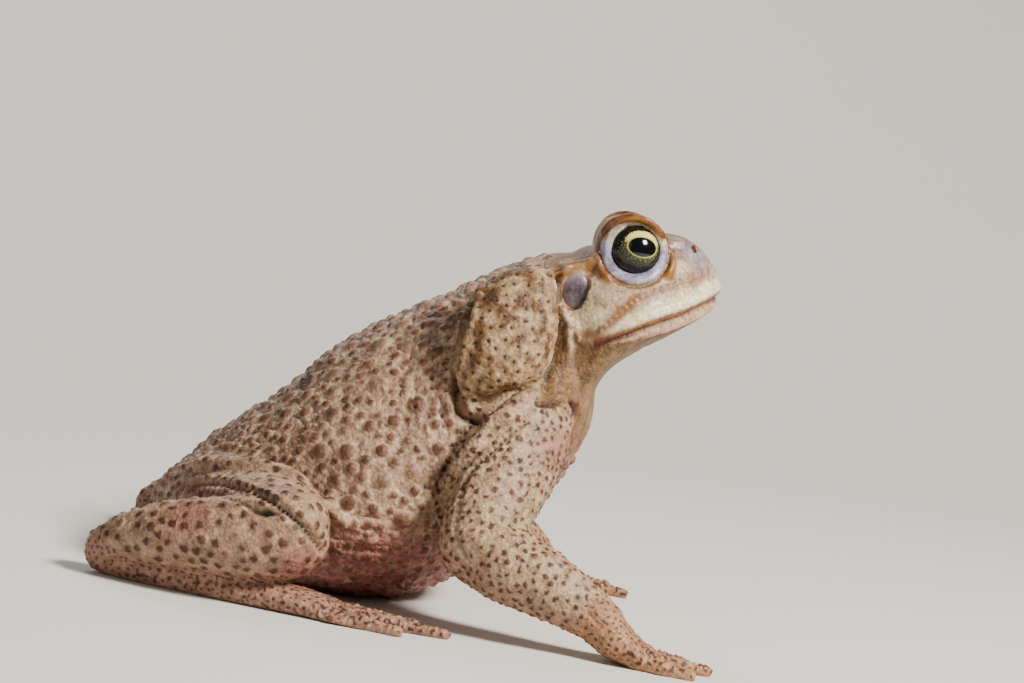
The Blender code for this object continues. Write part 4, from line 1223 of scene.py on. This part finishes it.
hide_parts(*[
    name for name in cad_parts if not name.startswith(("eye", "tympanum"))
])

# Eyes: a wet, glassy cornea over a black iris flecked with gold, with a level oval pupil
# in a thin gold rim. Each eyeball is turned from a ball and sits in its lids.
PUPIL_AT = (1.0, 0.65)
PUPIL_HALF = (3.0, 2.0)
material, tree, shader = new_material("eye_wet_cornea")
place = add(tree, "ShaderNodeTexCoord", {}).outputs["UV"]
flat = add(tree, "ShaderNodeSeparateXYZ", {"Vector": place})
across, upward = flat.outputs[0], flat.outputs[1]


def from_pupil(at, half):
    """Distance from an oval's middle, 1 on its rim."""
    a = add(tree, "ShaderNodeMath", {0: across, 1: at[0]}, operation="SUBTRACT").outputs[0]
    b = add(tree, "ShaderNodeMath", {0: upward, 1: at[1]}, operation="SUBTRACT").outputs[0]
    a = add(tree, "ShaderNodeMath", {0: a, 1: half[0]}, operation="DIVIDE").outputs[0]
    b = add(tree, "ShaderNodeMath", {0: b, 1: half[1]}, operation="DIVIDE").outputs[0]
    both = add(tree, "ShaderNodeCombineXYZ", {"X": a, "Y": b}).outputs[0]
    return add(tree, "ShaderNodeVectorMath", {0: both}, operation="LENGTH").outputs["Value"]


flecks = add(tree, "ShaderNodeTexNoise", {
    "Vector": place, "Scale": 3.2, "Detail": 6.0, "Roughness": 0.75,
}).outputs["Fac"]
oval = from_pupil(PUPIL_AT, PUPIL_HALF)
close = add(tree, "ShaderNodeMapRange", {
    "Value": oval, "From Min": 1.0, "From Max": 2.3, "To Min": 0.10, "To Max": -0.05,
}).outputs["Result"]
dusted = add(tree, "ShaderNodeMath", {0: flecks, 1: close}, operation="ADD").outputs[0]
glow = from_pupil((0.9, 1.6), (3.5, 2.35))
torn = add(tree, "ShaderNodeMath", {
    0: flecks, 1: -0.5, 2: glow,
}, operation="MULTIPLY_ADD").outputs[0]
edges = {}
for name, value, low, high in (
    ("gold", dusted, 0.60, 0.66), ("inside", torn, 0.78, 0.70), ("above", upward, 1.0, 1.7),
    ("rim", oval, 1.11, 1.05), ("hole", oval, 1.02, 0.96),
    ("border", from_pupil((0.0, 0.0), (4.9, 5.1)), 0.88, 0.98),
):
    edges[name] = add(tree, "ShaderNodeMapRange", {
        "Value": value, "From Min": low, "From Max": high,
    }).outputs["Result"]
edges["crescent"] = add(tree, "ShaderNodeMath", {
    0: edges["inside"], 1: edges["above"],
}, operation="MULTIPLY").outputs[0]
colour = linear("#0a0906")
for name, code in (
    ("gold", "#8f8d33"), ("crescent", "#d3cb76"), ("rim", "#a9a548"),
    ("hole", "#020202"), ("border", "#080605"),
):
    colour = add(tree, "ShaderNodeMix", {
        0: edges[name], 6: colour, 7: linear(code),
    }, data_type="RGBA").outputs[2]
tree.links.new(colour, shader.inputs["Base Color"])
shader.inputs["Roughness"].default_value = 0.12
shader.inputs["IOR"].default_value = 1.376
shader.inputs["Coat Weight"].default_value = 0.4
shader.inputs["Coat Roughness"].default_value = 0.02

for side, node in ((-1, "eye_r"), (1, "eye_l")):
    bpy.ops.object.select_all(action="DESELECT")
    bpy.ops.mesh.primitive_uv_sphere_add(
        segments=96, ring_count=64, radius=EYE_RADIUS * MM,
    )
    ball = bpy.context.object
    ball.name = ball.data.name = "eyeball_" + node[-1]
    # The cornea bulges a little where it clears the lids.
    for vertex in ball.data.vertices:
        front = max(0.0, vertex.co.z / (EYE_RADIUS * MM))
        vertex.co *= 1.0 + 0.035 * front ** 4
    axis = Vector((EYE_AXIS.x, EYE_AXIS.y * -side, EYE_AXIS.z))
    turn = axis.to_track_quat("Z", "Y").to_matrix()
    ahead = Vector((1.0, 0.0, 0.0))
    ahead = (ahead - axis * ahead.dot(axis)).normalized()
    above = axis.cross(ahead)
    above = above if above.z > 0 else -above
    centre = Vector((EYE_CENTRE.x, EYE_CENTRE.y * -side, EYE_CENTRE.z)) * MM + FRAME_SHIFT
    ball.data.transform(Matrix.Translation(centre) @ turn.to_4x4())
    chart = ball.data.uv_layers.active.data
    for loop in ball.data.loops:
        out = ball.data.vertices[loop.vertex_index].co - centre
        chart[loop.index].uv = (out.dot(ahead) / MM, out.dot(above) / MM)
    ball.data.materials.append(material)
    bpy.ops.object.shade_smooth()
    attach(ball, "root")
    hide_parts(node)

# Eardrums: a thin round membrane stretched in a pit behind each eye, smoky mauve, darker
# and mottled in the middle, with a slight sheen.
material, tree, shader = new_material("eardrum_membrane")
place = add(tree, "ShaderNodeTexCoord", {}).outputs["Object"]
mottling = add(tree, "ShaderNodeTexNoise", {
    "Vector": place, "Scale": 1 / 0.0016, "Detail": 4.0, "Roughness": 0.6,
}).outputs["Fac"]
cloud = add(tree, "ShaderNodeMapRange", {
    "Value": mottling, "From Min": 0.38, "From Max": 0.62,
}).outputs["Result"]
colour = add(tree, "ShaderNodeMix", {
    0: cloud, 6: linear("#33272c"), 7: linear("#665860"),
}, data_type="RGBA").outputs[2]
rimmed = add(tree, "ShaderNodeAttribute", {}, attribute_name="rim").outputs["Fac"]
edge = add(tree, "ShaderNodeMapRange", {
    "Value": rimmed, "From Min": 0.62, "From Max": 0.98,
}).outputs["Result"]
colour = add(tree, "ShaderNodeMix", {
    0: edge, 6: colour, 7: linear("#8b7c80"),
}, data_type="RGBA").outputs[2]
tree.links.new(colour, shader.inputs["Base Color"])
shader.inputs["Roughness"].default_value = 0.38
bump = add(tree, "ShaderNodeBump", {
    "Height": mottling, "Distance": 0.0002, "Strength": 0.6,
})
tree.links.new(bump.outputs["Normal"], shader.inputs["Normal"])
for side, node in ((-1, "tympanum_r"), (1, "tympanum_l")):
    drum = ellipsoid("eardrum_" + node[-1], ear_at, EAR_HALF, sides=48)
    if side > 0:
        copy = mirrored(drum)
        bpy.data.objects.remove(drum)
        drum = copy
        drum.name = "eardrum_l"
    middle = Vector((ear_at[0], ear_at[1] * -side, ear_at[2])) * MM
    rim_layer = drum.data.attributes.new("rim", "FLOAT", "POINT")
    for vertex, value in zip(drum.data.vertices, rim_layer.data):
        out = vertex.co - middle
        wide, high = EAR_HALF[0] * MM, EAR_HALF[2] * MM
        value.value = min(1.0, math.hypot(out.x / wide, out.z / high))
    drum.data.transform(Matrix.Translation(FRAME_SHIFT))
    drum.data.materials.append(material)
    drum.data.shade_smooth()
    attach(drum, "root")
    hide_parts(node)

# The studio: a pale seamless sweep of paper under and behind the toad, a large soft key
# lamp high on the side that it faces, a fill from the left and a rim lamp behind.
bpy.ops.object.select_all(action="DESELECT")
bpy.ops.mesh.primitive_plane_add(size=1)
paper = bpy.context.object
paper.name = paper.data.name = "paper_sweep"
sweep = bmesh.new()
profile = [(-1.6, 0.0), (0.35, 0.0)]
for k in range(1, 13):
    a = math.radians(90 * k / 12)
    profile.append((0.35 + 0.5 * math.sin(a), 0.5 - 0.5 * math.cos(a)))
profile.append((0.85, 2.6))
rows = [[sweep.verts.new((side, py, pz)) for py, pz in profile] for side in (-2.6, 2.6)]
for k in range(len(profile) - 1):
    sweep.faces.new((rows[0][k], rows[1][k], rows[1][k + 1], rows[0][k + 1]))
bmesh.ops.recalc_face_normals(sweep, faces=sweep.faces)
sweep.to_mesh(paper.data)
sweep.free()
paper.data.shade_smooth()
material, tree, shader = new_material("matte_paper")
shader.inputs["Base Color"].default_value = linear("#d8d5cf")
shader.inputs["Roughness"].default_value = 0.9
paper.data.materials.append(material)

LAMPS = [
    # name, place, size, watts, colour
    ("key_lamp", (0.55, -0.40, 0.62), 0.20, 18.5, (1.0, 0.96, 0.90)),
    ("fill_lamp", (-0.60, -0.70, 0.30), 0.80, 1.4, (0.96, 0.97, 1.0)),
    ("rim_lamp", (-0.25, 0.60, 0.60), 0.50, 2.6, (1.0, 0.97, 0.93)),
]
for name, spot, size, watts, tint in LAMPS:
    bpy.ops.object.light_add(type="AREA", location=spot)
    lamp = bpy.context.object
    lamp.name = name
    lamp.data.size = size
    lamp.data.energy = watts
    lamp.data.color = tint
    toward = Vector((0.0, 0.0, 0.04)) - Vector(spot)
    lamp.rotation_euler = toward.to_track_quat("-Z", "Y").to_euler()
world = bpy.data.worlds.new("studio_air")
world.use_nodes = True
world.node_tree.nodes["Background"].inputs["Color"].default_value = (1.0, 0.98, 0.96, 1.0)
world.node_tree.nodes["Background"].inputs["Strength"].default_value = 0.17
bpy.context.scene.world = world

# The camera: level with the toad's shoulder at its right side, tipped a little down, and
# rolled so that the level floor runs down to the right, as the photograph's ground does.
PITCH = math.radians(3.5)
ROLL = math.radians(9.0)
DISTANCE = 600.0
AIM = Vector((24.0, 0.0, 56.1))
ahead = Vector((0.0, math.cos(PITCH), -math.sin(PITCH)))
level_up = Vector((0.0, math.sin(PITCH), math.cos(PITCH)))
across = Vector((math.cos(ROLL), 0.0, 0.0)) + level_up * math.sin(ROLL)
above = Vector((-math.sin(ROLL), 0.0, 0.0)) + level_up * math.cos(ROLL)
camera_data = bpy.data.cameras.new("camera")
camera_data.sensor_width = 36.0
camera_data.lens = 100.44
camera = bpy.data.objects.new("camera", camera_data)
bpy.context.collection.objects.link(camera)
turn = Matrix((across, above, -ahead)).transposed().to_4x4()
camera.matrix_world = Matrix.Translation(
    (AIM - ahead * DISTANCE) * MM + FRAME_SHIFT
) @ turn
camera_data.clip_start = 0.01
bpy.context.scene.camera = camera
